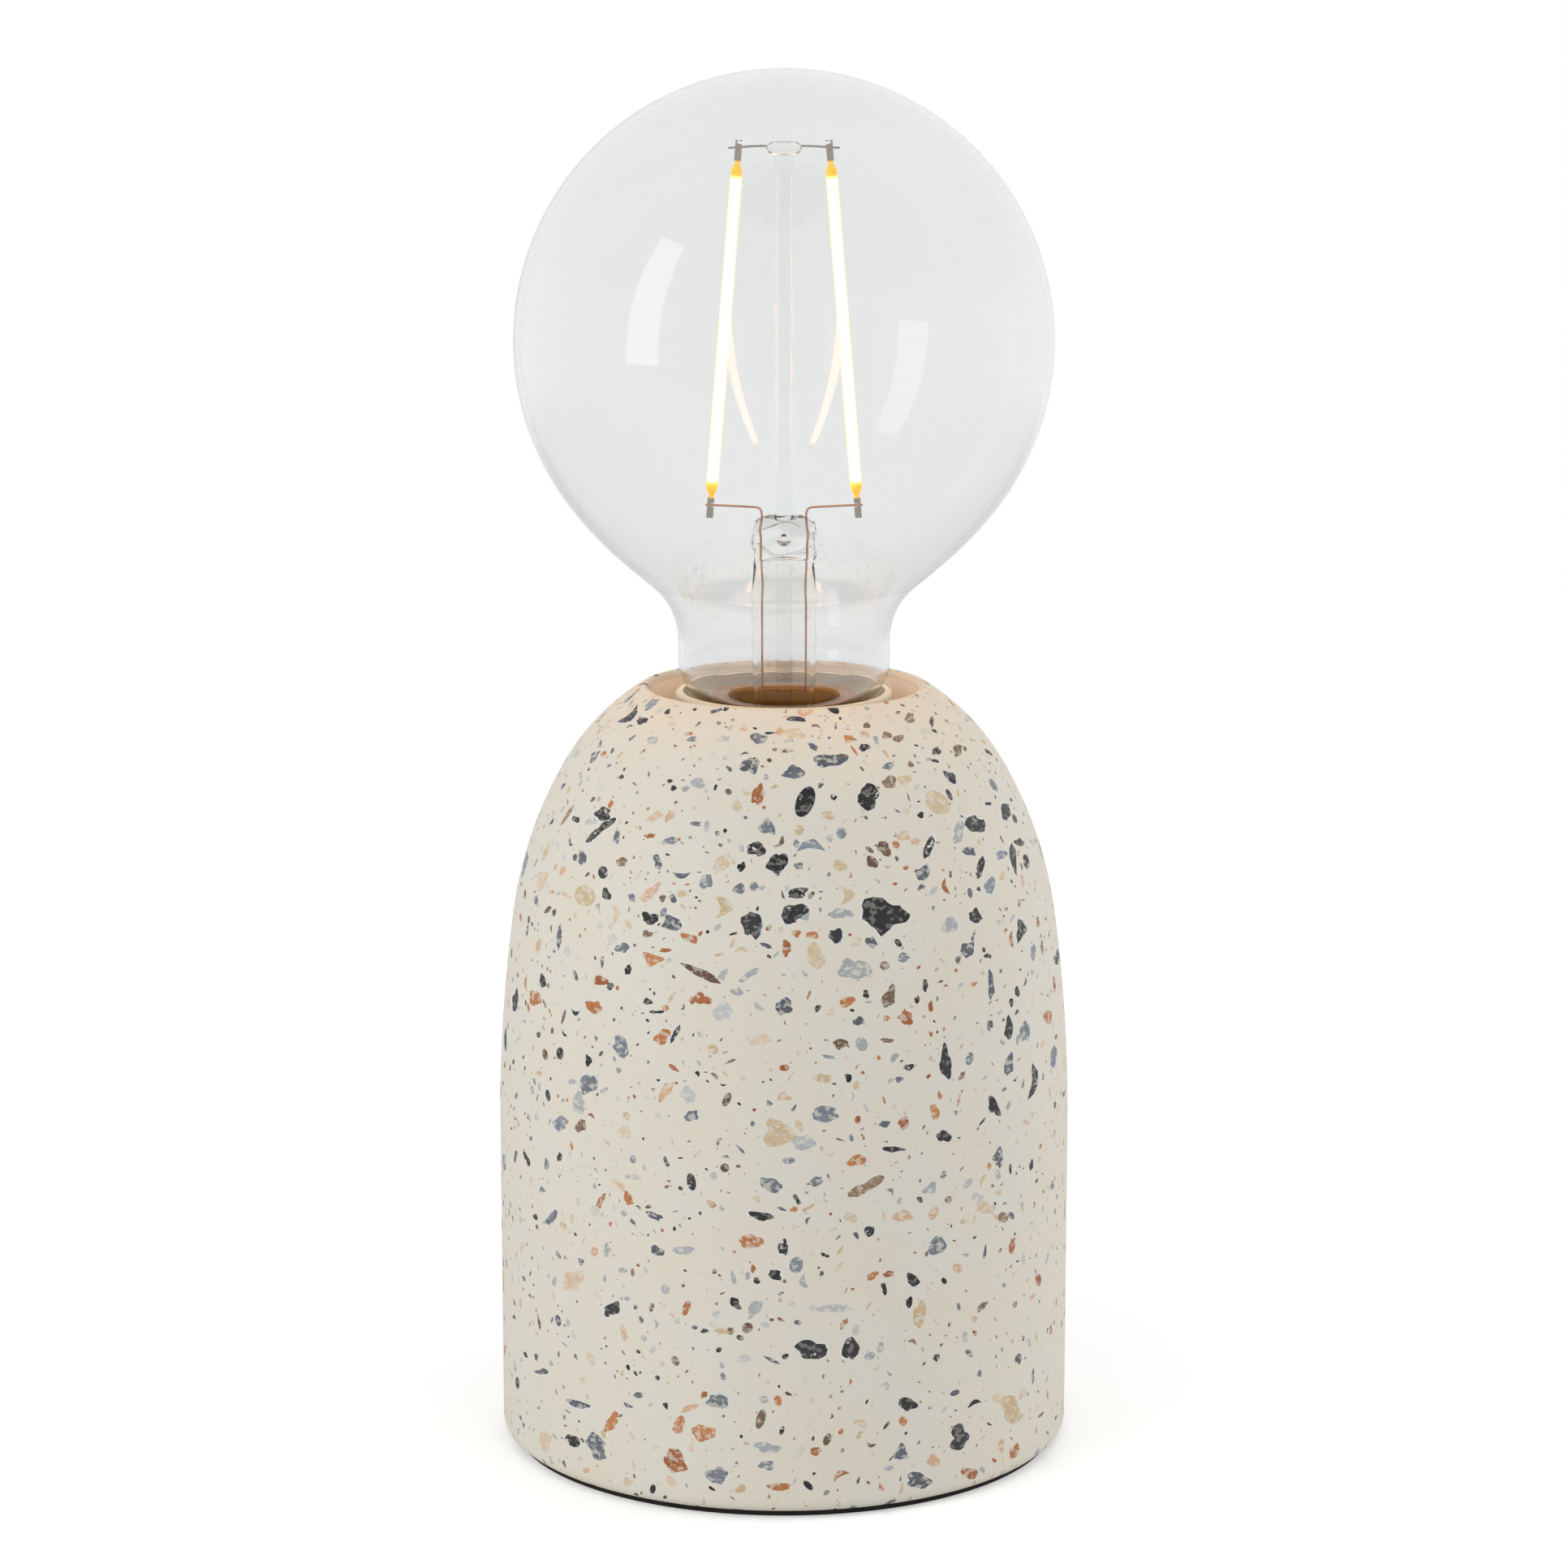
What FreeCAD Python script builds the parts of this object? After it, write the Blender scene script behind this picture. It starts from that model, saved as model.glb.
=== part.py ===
import FreeCAD, Part
import math
import os

import Sketcher
from FreeCAD import Placement, Rotation, Vector

# A table lamp: a cast terrazzo dome with a bulb holder sunk in its top and a large clear
# globe bulb that screws into it. The origin is on the table, on the lamp's axis. +Z is up,
# and the cable inlet is at the back, on +Y. Lengths are in millimetres, turns in degrees.

SIZES = {
    # Terrazzo dome
    "body_radius": 51.4,
    "straight_height": 57.0,
    "flank_arc": 284.0,
    "flank_turn": 8.0,
    "shoulder_arc": 74.0,
    "shoulder_turn": 30.0,
    "rim_turn": 58.0,
    "lip_round": 1.2,
    "foot_round": 2.2,
    "well_radius": 23.8,
    "base_wall": 14.4,
    "cavity_height": 68.0,
    "cavity_round": 4.0,
    "floor_thick": 10.0,
    # Foot pad and bottom plate
    "pad_inset": 2.2,
    "pad_thick": 1.0,
    "cover_inset": 7.4,
    "cover_thick": 2.0,
    "cover_screw_inset": 3.4,
    "cover_screw_radius": 1.5,
    "cover_screw_head_radius": 2.75,
    "cover_screw_head_height": 1.25,
    "cover_screw_length": 9.0,
    "cover_insert_radius": 2.4,
    "cover_insert_length": 6.5,
    # Cable inlet at the back
    "inlet_height": 14.0,
    "inlet_bore_radius": 3.2,
    "inlet_sleeve_radius": 5.0,
    "inlet_flange_radius": 6.8,
    "inlet_flange_thick": 1.6,
    "inlet_sink": 0.8,
    "inlet_nut_radius": 7.5,
    "inlet_nut_thick": 4.0,
    "inlet_seat_depth": 1.0,
    "inlet_seat_radius": 8.3,
    "inlet_sleeve_end": 1.5,
    # Threaded tube through the floor, with its nut and washers
    "tube_radius": 5.0,
    "tube_bore_radius": 4.1,
    "tube_below_nut": 3.0,
    "tube_above_holder_floor": 0.8,
    "tube_nut_radius": 8.1,
    "tube_nut_thick": 4.0,
    "lock_washer_radius": 8.5,
    "lock_washer_thick": 0.8,
    "lock_washer_split": 1.2,
    "washer_radius": 9.8,
    "washer_thick": 1.2,
    # Bulb holder: cap, skirt and insulating core
    "holder_radius": 19.3,
    "holder_height": 56.45,
    "holder_neck_radius": 8.2,
    "holder_neck_height": 3.8,
    "holder_cone_height": 7.5,
    "holder_rim_height": 6.5,
    "holder_floor": 6.0,
    "holder_funnel_radius": 7.0,
    "holder_funnel_height": 5.8,
    "holder_ledge_radius": 15.0,
    "holder_ledge_height": 15.3,
    "spigot_radius": 17.6,
    "spigot_height": 5.0,
    "skirt_wall": 1.3,
    "skirt_round": 0.5,
    "clamp_ring_radius": 14.9,
    "clamp_ring_thick": 1.65,
    "grub_radius": 1.25,
    "core_radius": 16.2,
    "core_floor": 7.0,
    "core_wall_height": 9.0,
    "core_well_radius": 14.0,
    # Terminals and contacts in the holder
    "terminal_reach": 8.5,
    "terminal_width": 5.0,
    "terminal_height": 6.0,
    "terminal_pocket": 3.0,
    "terminal_screw_radius": 1.2,
    "terminal_screw_length": 4.5,
    "rivet_radius": 1.2,
    "rivet_head_radius": 2.0,
    "rivet_head_thick": 0.6,
    "strip_thick": 0.4,
    "strip_width": 5.0,
    "strip_inner_end": 6.0,
    "side_strip_reach": 13.7,
    "live_foot_reach": 13.2,
    "tongue_pivot_reach": 12.7,
    "tongue_knuckle_radius": 0.6,
    "tongue_flat": 2.0,
    "tongue_tip_reach": 3.6,
    "tongue_tip_drop": 0.8,
    "contact_height": 5.5,
    # Screw thread of cap and holder, 7 turns to the inch
    "thread_pitch": 3.629,
    "thread_depth": 1.1,
    "thread_root_radius": 12.1,
    "thread_gap": 0.15,
    "shell_thick": 0.35,
    "shell_height": 22.0,
    "shell_flange_radius": 16.0,
    "cap_sheet": 0.3,
    # Internal leads and terminal block
    "lead_radius": 0.9,
    "lead_side": 1.7,
    "wire_hole_radius": 1.15,
    "wire_hole_depth": 4.8,
    "lead_reach_in_clamp": 3.0,
    "lead_below_clamp": 1.5,
    "lead_above_tube": 0.6,
    "lead_straight_to": 51.0,
    "lead_slack_side": 4.2,
    "lead_slack_front": 7.0,
    "lead_slack_height": 33.9,
    "lead_bow_run": 16.8,
    "lead_bow_height": 18.6,
    "lead_entry_run": 11.6,
    "lead_in_block": 6.0,
    "block_length": 20.0,
    "block_width": 18.0,
    "block_height": 12.0,
    "block_gap": 6.5,
    "block_pole": 5.0,
    "block_tube_radius": 2.2,
    "block_tube_length": 15.0,
    "block_screw_radius": 1.5,
    "block_screw_spread": 5.2,
    "block_screw_sink": 0.6,
    "block_fixing_radius": 1.4,
    "block_fixing_head_radius": 2.6,
    "block_fixing_head_thick": 1.6,
    # Bulb cap
    "cap_height": 26.2,
    "tip_radius": 4.6,
    "tip_thick": 1.6,
    "tip_dome": 0.6,
    "vitrite_cone": 3.6,
    "vitrite_rim": 2.3,
    "vitrite_foot_radius": 5.0,
    "vitrite_bore_radius": 1.2,
    "cement_sink": 0.3,
    "cement_height": 9.5,
    # Bulb glass
    "globe_radius": 47.5,
    "glass_wall": 1.0,
    "globe_turn": 52.5,
    "under_arc": 68.0,
    "under_turn": 40.3,
    "throat_arc": 13.2,
    "neck_radius": 18.8,
    "neck_straight": 3.69,
    "heel_round": 7.7,
    "glass_tail": 10.8,
    # Glass stem
    "flare_radius": 5.7,
    "flare_wall": 0.8,
    "flare_drop": 7.4,
    "flare_foot": 1.1,
    "press_foot": 25.4,
    "press_height": 8.0,
    "press_blend": 2.4,
    "press_half_width": 5.4,
    "press_half_depth": 2.2,
    "blow_hole_radius": 0.75,
    "blow_hole_height": 4.2,
    "exhaust_radius": 1.45,
    "exhaust_bore_radius": 0.95,
    "exhaust_length": 37.0,
    "exhaust_seal": 1.5,
    "rod_radius": 1.7,
    "crown_gap": 15.0,
    "bead_radius": 3.15,
    "bead_height": 2.4,
    "bead_round": 1.5,
    # Filaments and their wires
    "filament_radius": 1.0,
    "filament_top_reach": 8.1,
    "filament_foot_reach": 12.9,
    "filament_head_gap": 1.0,
    "filament_foot": 3.5,
    "tab_length": 3.6,
    "tab_width": 1.2,
    "tab_thick": 0.3,
    "anchor_radius": 0.3,
    "anchor_in_bead": 0.95,
    "anchor_rise": 1.35,
    "lead_wire_radius": 0.35,
    "lead_wire_side": 3.9,
    "lead_wire_rise": 2.2,
    # Driver in the cap
    "board_radius": 9.8,
    "board_thick": 1.0,
    "board_height": 9.3,
    "capacitor_radius": 2.6,
    "capacitor_height": 4.4,
    "capacitor_reach": 5.6,
    "bridge_length": 4.8,
    "bridge_width": 3.8,
    "bridge_height": 2.2,
    "chip_length": 4.9,
    "chip_width": 3.9,
    "chip_height": 1.5,
    "chip_reach": 6.6,
    "driver_wire_radius": 0.3,
    "driver_wire_inset": 1.2,
    "driver_wire_rise": 2.2,
    # Fits
    "easy_gap": 0.15,
    "bolt_gap": 0.25,
    "running_gap": 0.05,
    "overrun": 3.0,
}

# Shares are of the size named beside them.
THREAD_POINTS_SHARE = 1 / 12  # of a full turn, between the thread's control points
THREAD_STEP_SHARE = 1 / 6  # of the pitch, between its rows
BEND_SHARE = 0.45  # of the shorter run beside a bend, taken by the bend

COVER_SCREWS = 3
CORNERS = 6  # of a nut


class Size:
    """A length or angle with its value now and the sum of sheet cells that gives it."""

    def __init__(self, value, text):
        self.value = value
        self.text = text

    @staticmethod
    def of(other):
        return other if isinstance(other, Size) else Size(float(other), repr(other))

    def __add__(self, other):
        other = Size.of(other)
        return Size(self.value + other.value, f"({self.text} + {other.text})")

    def __sub__(self, other):
        other = Size.of(other)
        return Size(self.value - other.value, f"({self.text} - {other.text})")

    def __rsub__(self, other):
        return Size.of(other) - self

    def __mul__(self, other):
        other = Size.of(other)
        return Size(self.value * other.value, f"({self.text} * {other.text})")

    def __rmul__(self, other):
        return Size.of(other) * self

    def __radd__(self, other):
        return Size.of(other) + self

    def __truediv__(self, other):
        other = Size.of(other)
        return Size(self.value / other.value, f"({self.text} / {other.text})")

    def __neg__(self):
        return Size(-self.value, f"(0 - {self.text})")


def sine(angle):
    return Size(math.sin(math.radians(angle.value)), f"sin({angle.text})")


def cosine(angle):
    return Size(math.cos(math.radians(angle.value)), f"cos({angle.text})")


def root(area):
    return Size(math.sqrt(area.value), f"sqrt({area.text})")


def slope(across, up):
    """The angle from the vertical of a line that goes this far across and up."""
    return Size(
        math.degrees(math.atan2(across.value, up.value)),
        f"atan2({across.text}; {up.text})",
    )


class Sheet:
    """The driving sizes, one cell each, read as attributes."""

    def __init__(self, document, sizes):
        cells = document.addObject("Spreadsheet::Sheet", "Sizes")
        for row, (name, number) in enumerate(sizes.items(), start=1):
            cells.set(f"A{row}", name)
            cells.set(f"B{row}", str(number))
            cells.setAlias(f"B{row}", name)
            setattr(self, name, Size(number, f"Sizes.{name}"))


doc = FreeCAD.newDocument("TableLamp")
s = Sheet(doc, SIZES)
doc.recompute()
nil = Size(0.0, "0")
nodes = {}


# Ways of making a piece
def keep(name, shape_object):
    """Makes this object the lamp's sub-part of that name."""
    shape_object.Label = name
    nodes[name] = shape_object
    return shape_object


def bind(thing, **sizes):
    """Ties the object's properties to the sheet."""
    for name, size in sizes.items():
        setattr(thing, name, size.value)
        thing.setExpression(name, size.text)


def place(thing, x=nil, y=nil, z=nil, axis=None, angle=None):
    """Puts the object at a point, turned about an axis if one is given."""
    turn = Rotation(axis, angle.value) if axis else Rotation()
    thing.Placement = Placement(Vector(x.value, y.value, z.value), turn)
    for letter, size in zip("xyz", (x, y, z)):
        if size is not nil:
            thing.setExpression(f"Placement.Base.{letter}", size.text)
    if axis and angle.text:
        thing.setExpression("Placement.Rotation.Angle", angle.text)


def plane_of(body, role):
    return [f for f in body.Origin.OriginFeatures if f.Role == role][0]


def arc_between(start, end, radius):
    """The arc from start to end, bowed to the left of that way if its radius is positive."""
    chord = end - start
    left = Vector(-chord.y, chord.x, 0).normalize()
    high = math.sqrt(max(radius**2 - (chord.Length / 2) ** 2, 0.0))
    centre = (start + end) * 0.5 - left * math.copysign(high, radius)
    circle = Part.Circle(centre, Vector(0, 0, 1), abs(radius))
    low, far = (end, start) if radius > 0 else (start, end)
    low_turn = math.atan2(low.y - centre.y, low.x - centre.x)
    far_turn = math.atan2(far.y - centre.y, far.x - centre.x)
    if far_turn < low_turn:
        far_turn += 2 * math.pi
    return Part.ArcOfCircle(circle, low_turn, far_turn)


def outline(body, role, rows):
    """A closed sketch on one of the body's own planes."""
    sketch = body.newObject("Sketcher::SketchObject", body.Name + "_outline")
    sketch.AttachmentSupport = [(plane_of(body, role), "")]
    sketch.MapMode = "FlatFace"
    return draw(sketch, rows)


def draw(sketch, rows):
    """Draws a closed outline. A row is a point, or a point and the radius of the arc to it."""
    points = [Vector(row[0].value, row[1].value, 0) for row in rows]
    for i, row in enumerate(rows):
        start, end = points[i - 1], points[i]
        if len(row) == 3:
            sketch.addGeometry(arc_between(start, end, row[2].value), False)
        else:
            sketch.addGeometry(Part.LineSegment(start, end), False)
    # An arc bowed to the left is stored with its ends swapped.
    ends = [(2, 1) if len(row) == 3 and row[2].value > 0 else (1, 2) for row in rows]
    for i, row in enumerate(rows):
        nxt = (i + 1) % len(rows)
        last = ends[i][1]
        sketch.addConstraint(Sketcher.Constraint("Coincident", i, last, nxt, ends[nxt][0]))
        for kind, size in (("DistanceX", row[0]), ("DistanceY", row[1])):
            if size is nil:
                anchor = -2 if kind == "DistanceX" else -1
                rule = Sketcher.Constraint("PointOnObject", i, last, anchor)
                sketch.addConstraint(rule)
                continue
            rule = Sketcher.Constraint(kind, -1, 1, i, last, size.value)
            number = sketch.addConstraint(rule)
            sketch.setExpression(f"Constraints[{number}]", size.text)
        if len(row) == 3:
            bow = row[2] if row[2].value > 0 else -row[2]
            number = sketch.addConstraint(Sketcher.Constraint("Radius", i, bow.value))
            sketch.setExpression(f"Constraints[{number}]", bow.text)
    return sketch


def turned(name, rows):
    """A piece of revolution about its own vertical axis, from rows of radius and height."""
    body = doc.addObject("PartDesign::Body", name)
    sketch = outline(body, "XZ_Plane", rows)
    spin = body.newObject("PartDesign::Revolution", name + "_turn")
    spin.Profile = sketch
    spin.ReferenceAxis = (sketch, ["V_Axis"])
    spin.Angle = 360
    body.Tip = spin
    return body


def domed(name, rows):
    """A piece of revolution whose arcs run onto its axis."""
    sketch = doc.addObject("Sketcher::SketchObject", name + "_outline")
    sketch.Placement = Placement(Vector(), Rotation(Vector(1, 0, 0), 90))
    draw(sketch, rows)
    spin = doc.addObject("Part::Revolution", name)
    spin.Source = sketch
    spin.Axis = Vector(0, 0, 1)
    spin.Angle = 360
    spin.Solid = True
    return spin


def cut_strip(name, rows, width):
    """A plate on the XZ plane, as wide to the front as to the back."""
    body = doc.addObject("PartDesign::Body", name)
    sketch = outline(body, "XZ_Plane", rows)
    pad = body.newObject("PartDesign::Pad", name + "_pad")
    pad.Profile = sketch
    pad.SideType = "Symmetric"
    bind(pad, Length=width)
    body.Tip = pad
    return body


def ring(name, outer, inner, low, high):
    """A washer or tube about the vertical axis."""
    return turned(name, [(inner, low), (outer, low), (outer, high), (inner, high)])


def disc(name, outer, low, high):
    return turned(name, [(nil, low), (outer, low), (outer, high), (nil, high)])


def bar(name, radius, length, **where):
    """A round bar along its own Z axis."""
    solid = doc.addObject("Part::Cylinder", name)
    bind(solid, Radius=radius, Height=length)
    place(solid, **where)
    return solid


def block(name, length, width, height, x=nil, y=nil, z=nil):
    """A box centred on x and y, standing on z."""
    solid = doc.addObject("Part::Box", name)
    bind(solid, Length=length, Width=width, Height=height)
    place(solid, x - length / 2, y - width / 2, z)
    return solid


def cut(name, base, *tools):
    tool = tools[0] if len(tools) == 1 else fuse(name + "_tools", *tools)
    result = doc.addObject("Part::Cut", name)
    result.Base, result.Tool = base, tool
    return result


def fuse(name, *parts):
    result = doc.addObject("Part::MultiFuse", name)
    result.Shapes = list(parts)
    return result


def group(name, *parts):
    """Separate solids that share one sub-part."""
    result = doc.addObject("Part::Compound", name)
    result.Links = list(parts)
    return result


def towards(side):
    """Turns a bar from +Z towards the given side: +X, -X or +Y."""
    axes = {
        "+X": (Vector(0, 1, 0), 90),
        "-X": (Vector(0, 1, 0), -90),
        "+Y": (Vector(1, 0, 0), -90),
    }
    axis, angle = axes[side]
    return {"axis": axis, "angle": Size(angle, "")}


def wire_path(points):
    """Straight runs through the points, joined by tangent arcs as large as the runs allow."""
    edges = []
    start = points[0]
    for before, corner, after in zip(points, points[1:], points[2:]):
        way_in = (corner - before).normalize()
        way_out = (after - corner).normalize()
        reach = BEND_SHARE * min((corner - before).Length, (after - corner).Length)
        arc_start = corner - way_in * reach
        arc_end = corner + way_out * reach
        half_turn = way_in.getAngle(way_out) / 2
        radius = reach / math.tan(half_turn)
        inward = (way_out - way_in).normalize()
        middle = corner + inward * (radius / math.cos(half_turn) - radius)
        edges.append(Part.LineSegment(start, arc_start).toShape())
        edges.append(Part.Arc(arc_start, middle, arc_end).toShape())
        start = arc_end
    edges.append(Part.LineSegment(start, points[-1]).toShape())
    return Part.Wire(edges)


def wire_along(name, radius, points):
    """A bent wire or lead, round in section, along rows of three sizes."""
    path = wire_path([Vector(*(size.value for size in point)) for point in points])
    first = path.Edges[0]
    start = first.valueAt(first.FirstParameter)
    ring_edge = Part.makeCircle(radius.value, start, first.tangentAt(first.FirstParameter))
    feature = doc.addObject("Part::Feature", name)
    feature.Shape = path.makePipeShell([Part.Wire(ring_edge)], True, False)
    return feature


def mirrored(point):
    return (-point[0], point[1], point[2])


# Reaches and heights that follow from the sizes
cavity_radius = s.body_radius - s.base_wall
pad_radius = s.body_radius - s.pad_inset
cover_radius = s.body_radius - s.cover_inset
cover_screw_circle = cover_radius - s.cover_screw_inset
inlet_seat = cavity_radius + s.inlet_seat_depth
inlet_end = inlet_seat - s.inlet_nut_thick - s.inlet_sleeve_end
block_front = inlet_end - s.block_gap - s.block_width
cover_top = s.pad_thick + s.cover_thick
floor_bottom = s.pad_thick + s.cavity_height
floor_top = floor_bottom + s.floor_thick
holder_bottom = floor_top + s.washer_thick
holder_top = holder_bottom + s.holder_height
core_bottom = holder_bottom + s.holder_ledge_height
core_floor_top = core_bottom + s.core_floor
core_top = core_floor_top + s.core_wall_height
tip_bottom = core_floor_top + s.contact_height
cap_bottom = tip_bottom + s.tip_thick + s.vitrite_cone
cap_top = tip_bottom + s.cap_height
press_bottom = cap_top + s.press_foot
press_top = press_bottom + s.press_height
heel_middle = cap_top + s.running_gap + s.heel_round
neck_top = heel_middle + s.neck_straight
under_spread = s.globe_radius - s.under_arc
under_reach = under_spread * sine(s.globe_turn) + s.under_arc * sine(s.under_turn)
throat_across = under_reach - s.throat_arc * (1 - sine(s.under_turn)) - s.neck_radius
throat_high = neck_top + s.throat_arc * cosine(s.under_turn)
under_high = throat_high + throat_across * sine(s.under_turn) / cosine(s.under_turn)
under_middle = under_high + s.under_arc * cosine(s.under_turn)
globe_middle = under_middle + under_spread * cosine(s.globe_turn)
rod_top = globe_middle + s.globe_radius - s.crown_gap
board_bottom = tip_bottom + s.board_height
board_top = board_bottom + s.board_thick


def terrazzo_body():
    """The cast dome, with the well for the holder above its floor and a cavity below it."""
    flank_r = s.body_radius - s.flank_arc * (1 - cosine(s.flank_turn))
    flank_z = s.straight_height + s.flank_arc * sine(s.flank_turn)
    shoulder_r = flank_r - s.shoulder_arc * (cosine(s.flank_turn) - cosine(s.shoulder_turn))
    shoulder_z = flank_z + s.shoulder_arc * (sine(s.shoulder_turn) - sine(s.flank_turn))
    rim_r = s.well_radius + s.lip_round * (1 + cosine(s.rim_turn))
    crown_arc = (shoulder_r - rim_r) / (cosine(s.shoulder_turn) - cosine(s.rim_turn))
    rim_z = shoulder_z + crown_arc * (sine(s.rim_turn) - sine(s.shoulder_turn))
    lip_z = rim_z - s.lip_round * sine(s.rim_turn)
    seat_r = cover_radius + s.easy_gap
    hole_r = s.tube_radius + s.bolt_gap
    dome = turned(
        "dome",
        [
            (seat_r, s.pad_thick),
            (s.body_radius - s.foot_round, s.pad_thick),
            (s.body_radius, s.pad_thick + s.foot_round, -s.foot_round),
            (s.body_radius, s.straight_height),
            (flank_r, flank_z, -s.flank_arc),
            (shoulder_r, shoulder_z, -s.shoulder_arc),
            (rim_r, rim_z, -crown_arc),
            (s.well_radius, lip_z, -s.lip_round),
            (s.well_radius, floor_top),
            (hole_r, floor_top),
            (hole_r, floor_bottom),
            (cavity_radius - s.cavity_round, floor_bottom),
            (cavity_radius, floor_bottom - s.cavity_round, -s.cavity_round),
            (cavity_radius, cover_top),
            (seat_r, cover_top),
        ],
    )
    flange_back = s.body_radius - s.inlet_sink - s.inlet_flange_thick
    sink = bar(
        "inlet_sink_tool", s.inlet_flange_radius + s.easy_gap,
        s.body_radius, y=flange_back, z=s.inlet_height, **towards("+Y"),
    )
    bore = bar(
        "inlet_bore_tool", s.inlet_sleeve_radius + s.easy_gap,
        s.body_radius, z=s.inlet_height, **towards("+Y"),
    )
    seat = bar(
        "inlet_seat_tool", s.inlet_seat_radius, inlet_seat, z=s.inlet_height, **towards("+Y")
    )
    holes = [
        bar(
            f"insert_hole_{i}", s.cover_insert_radius, s.cover_insert_length + s.overrun,
            x=cover_screw_circle * cosine(screw_angle(i)),
            y=cover_screw_circle * sine(screw_angle(i)), z=cover_top,
        )
        for i in range(COVER_SCREWS)
    ]
    keep("terrazzo_body", cut("terrazzo_body", dome, sink, bore, seat, *holes))


def screw_angle(number):
    """The bottom plate's screws are evenly spaced, with the first at the front."""
    degrees = 270 + 360 * number / COVER_SCREWS
    return Size(degrees, repr(degrees))


def bottom():
    """The foot pad, the plate above it, and the plate's screws in their threaded inserts."""
    keep("base_pad", disc("base_pad", pad_radius, nil, s.pad_thick))
    plate = disc("plate", cover_radius, s.pad_thick, cover_top)
    head_top = s.pad_thick + s.cover_screw_head_height
    screw_top = s.pad_thick + s.cover_screw_length
    screws, inserts, tools = [], [], []
    for i in range(COVER_SCREWS):
        x = cover_screw_circle * cosine(screw_angle(i))
        y = cover_screw_circle * sine(screw_angle(i))
        screw_rows = [
            (nil, s.pad_thick),
            (s.cover_screw_head_radius, s.pad_thick),
            (s.cover_screw_radius, head_top),
            (s.cover_screw_radius, screw_top),
            (nil, screw_top),
        ]
        screws.append(turned(f"cover_screw_{i}", screw_rows))
        tools.append(turned(f"cover_hole_{i}", screw_rows))
        insert_top = cover_top + s.cover_insert_length
        inserts.append(
            ring(f"insert_{i}", s.cover_insert_radius, s.cover_screw_radius, cover_top, insert_top)
        )
        for piece in (screws[-1], tools[-1], inserts[-1]):
            place(piece, x, y)
    hole = bar(
        "block_hole", s.block_fixing_radius, cover_top,
        y=block_front + s.block_width / 2,
    )
    keep("base_cover", cut("base_cover", plate, hole, *tools))
    keep("cover_screws", group("cover_screws", *screws))
    keep("cover_inserts", group("cover_inserts", *inserts))


def inlet():
    """The cable bushing in the back wall and the nut that holds it from inside."""
    front = s.body_radius - s.inlet_sink
    back = front - s.inlet_flange_thick
    bushing = turned(
        "cable_bushing",
        [
            (s.inlet_bore_radius, inlet_end),
            (s.inlet_sleeve_radius, inlet_end),
            (s.inlet_sleeve_radius, back),
            (s.inlet_flange_radius, back),
            (s.inlet_flange_radius, front - s.inlet_sink / 2),
            (s.inlet_flange_radius - s.inlet_sink / 2, front, s.inlet_sink),
            (s.inlet_bore_radius, front),
        ],
    )
    place(bushing, z=s.inlet_height, **towards("+Y"))
    keep("cable_bushing", bushing)
    hexagon = doc.addObject("Part::Prism", "bushing_hexagon")
    hexagon.Polygon = CORNERS
    bind(hexagon, Circumradius=s.inlet_nut_radius, Height=s.inlet_nut_thick)
    place(hexagon, y=inlet_seat - s.inlet_nut_thick, z=s.inlet_height, **towards("+Y"))
    bore = bar(
        "bushing_nut_bore", s.inlet_sleeve_radius, inlet_seat, z=s.inlet_height, **towards("+Y")
    )
    keep("bushing_nut", cut("bushing_nut", hexagon, bore))


def mounting_tube():
    """The threaded tube that clamps the holder to the floor, with its nut and washers."""
    washer_low = floor_bottom - s.washer_thick
    lock_low = washer_low - s.lock_washer_thick
    nut_low = lock_low - s.tube_nut_thick
    tube_low = nut_low - s.tube_below_nut
    tube_top = holder_bottom + s.holder_floor + s.tube_above_holder_floor
    keep(
        "threaded_tube",
        ring("threaded_tube", s.tube_radius, s.tube_bore_radius, tube_low, tube_top),
    )
    hole = s.tube_radius + s.bolt_gap
    keep("upper_washer", ring("upper_washer", s.washer_radius, hole, floor_top, holder_bottom))
    keep("lower_washer", ring("lower_washer", s.washer_radius, hole, washer_low, floor_bottom))
    spring = ring("lock_ring", s.lock_washer_radius, hole, lock_low, washer_low)
    split = block(
        "lock_split", s.washer_radius, s.lock_washer_split, s.lock_washer_thick,
        x=s.washer_radius / 2, z=lock_low,
    )
    keep("lock_washer", cut("lock_washer", spring, split))
    hexagon = doc.addObject("Part::Prism", "tube_hexagon")
    hexagon.Polygon = CORNERS
    bind(hexagon, Circumradius=s.tube_nut_radius, Height=s.tube_nut_thick)
    place(hexagon, z=nut_low)
    bore = bar("tube_nut_bore", s.tube_radius, floor_bottom)
    keep("tube_nut", cut("tube_nut", hexagon, bore))


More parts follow.
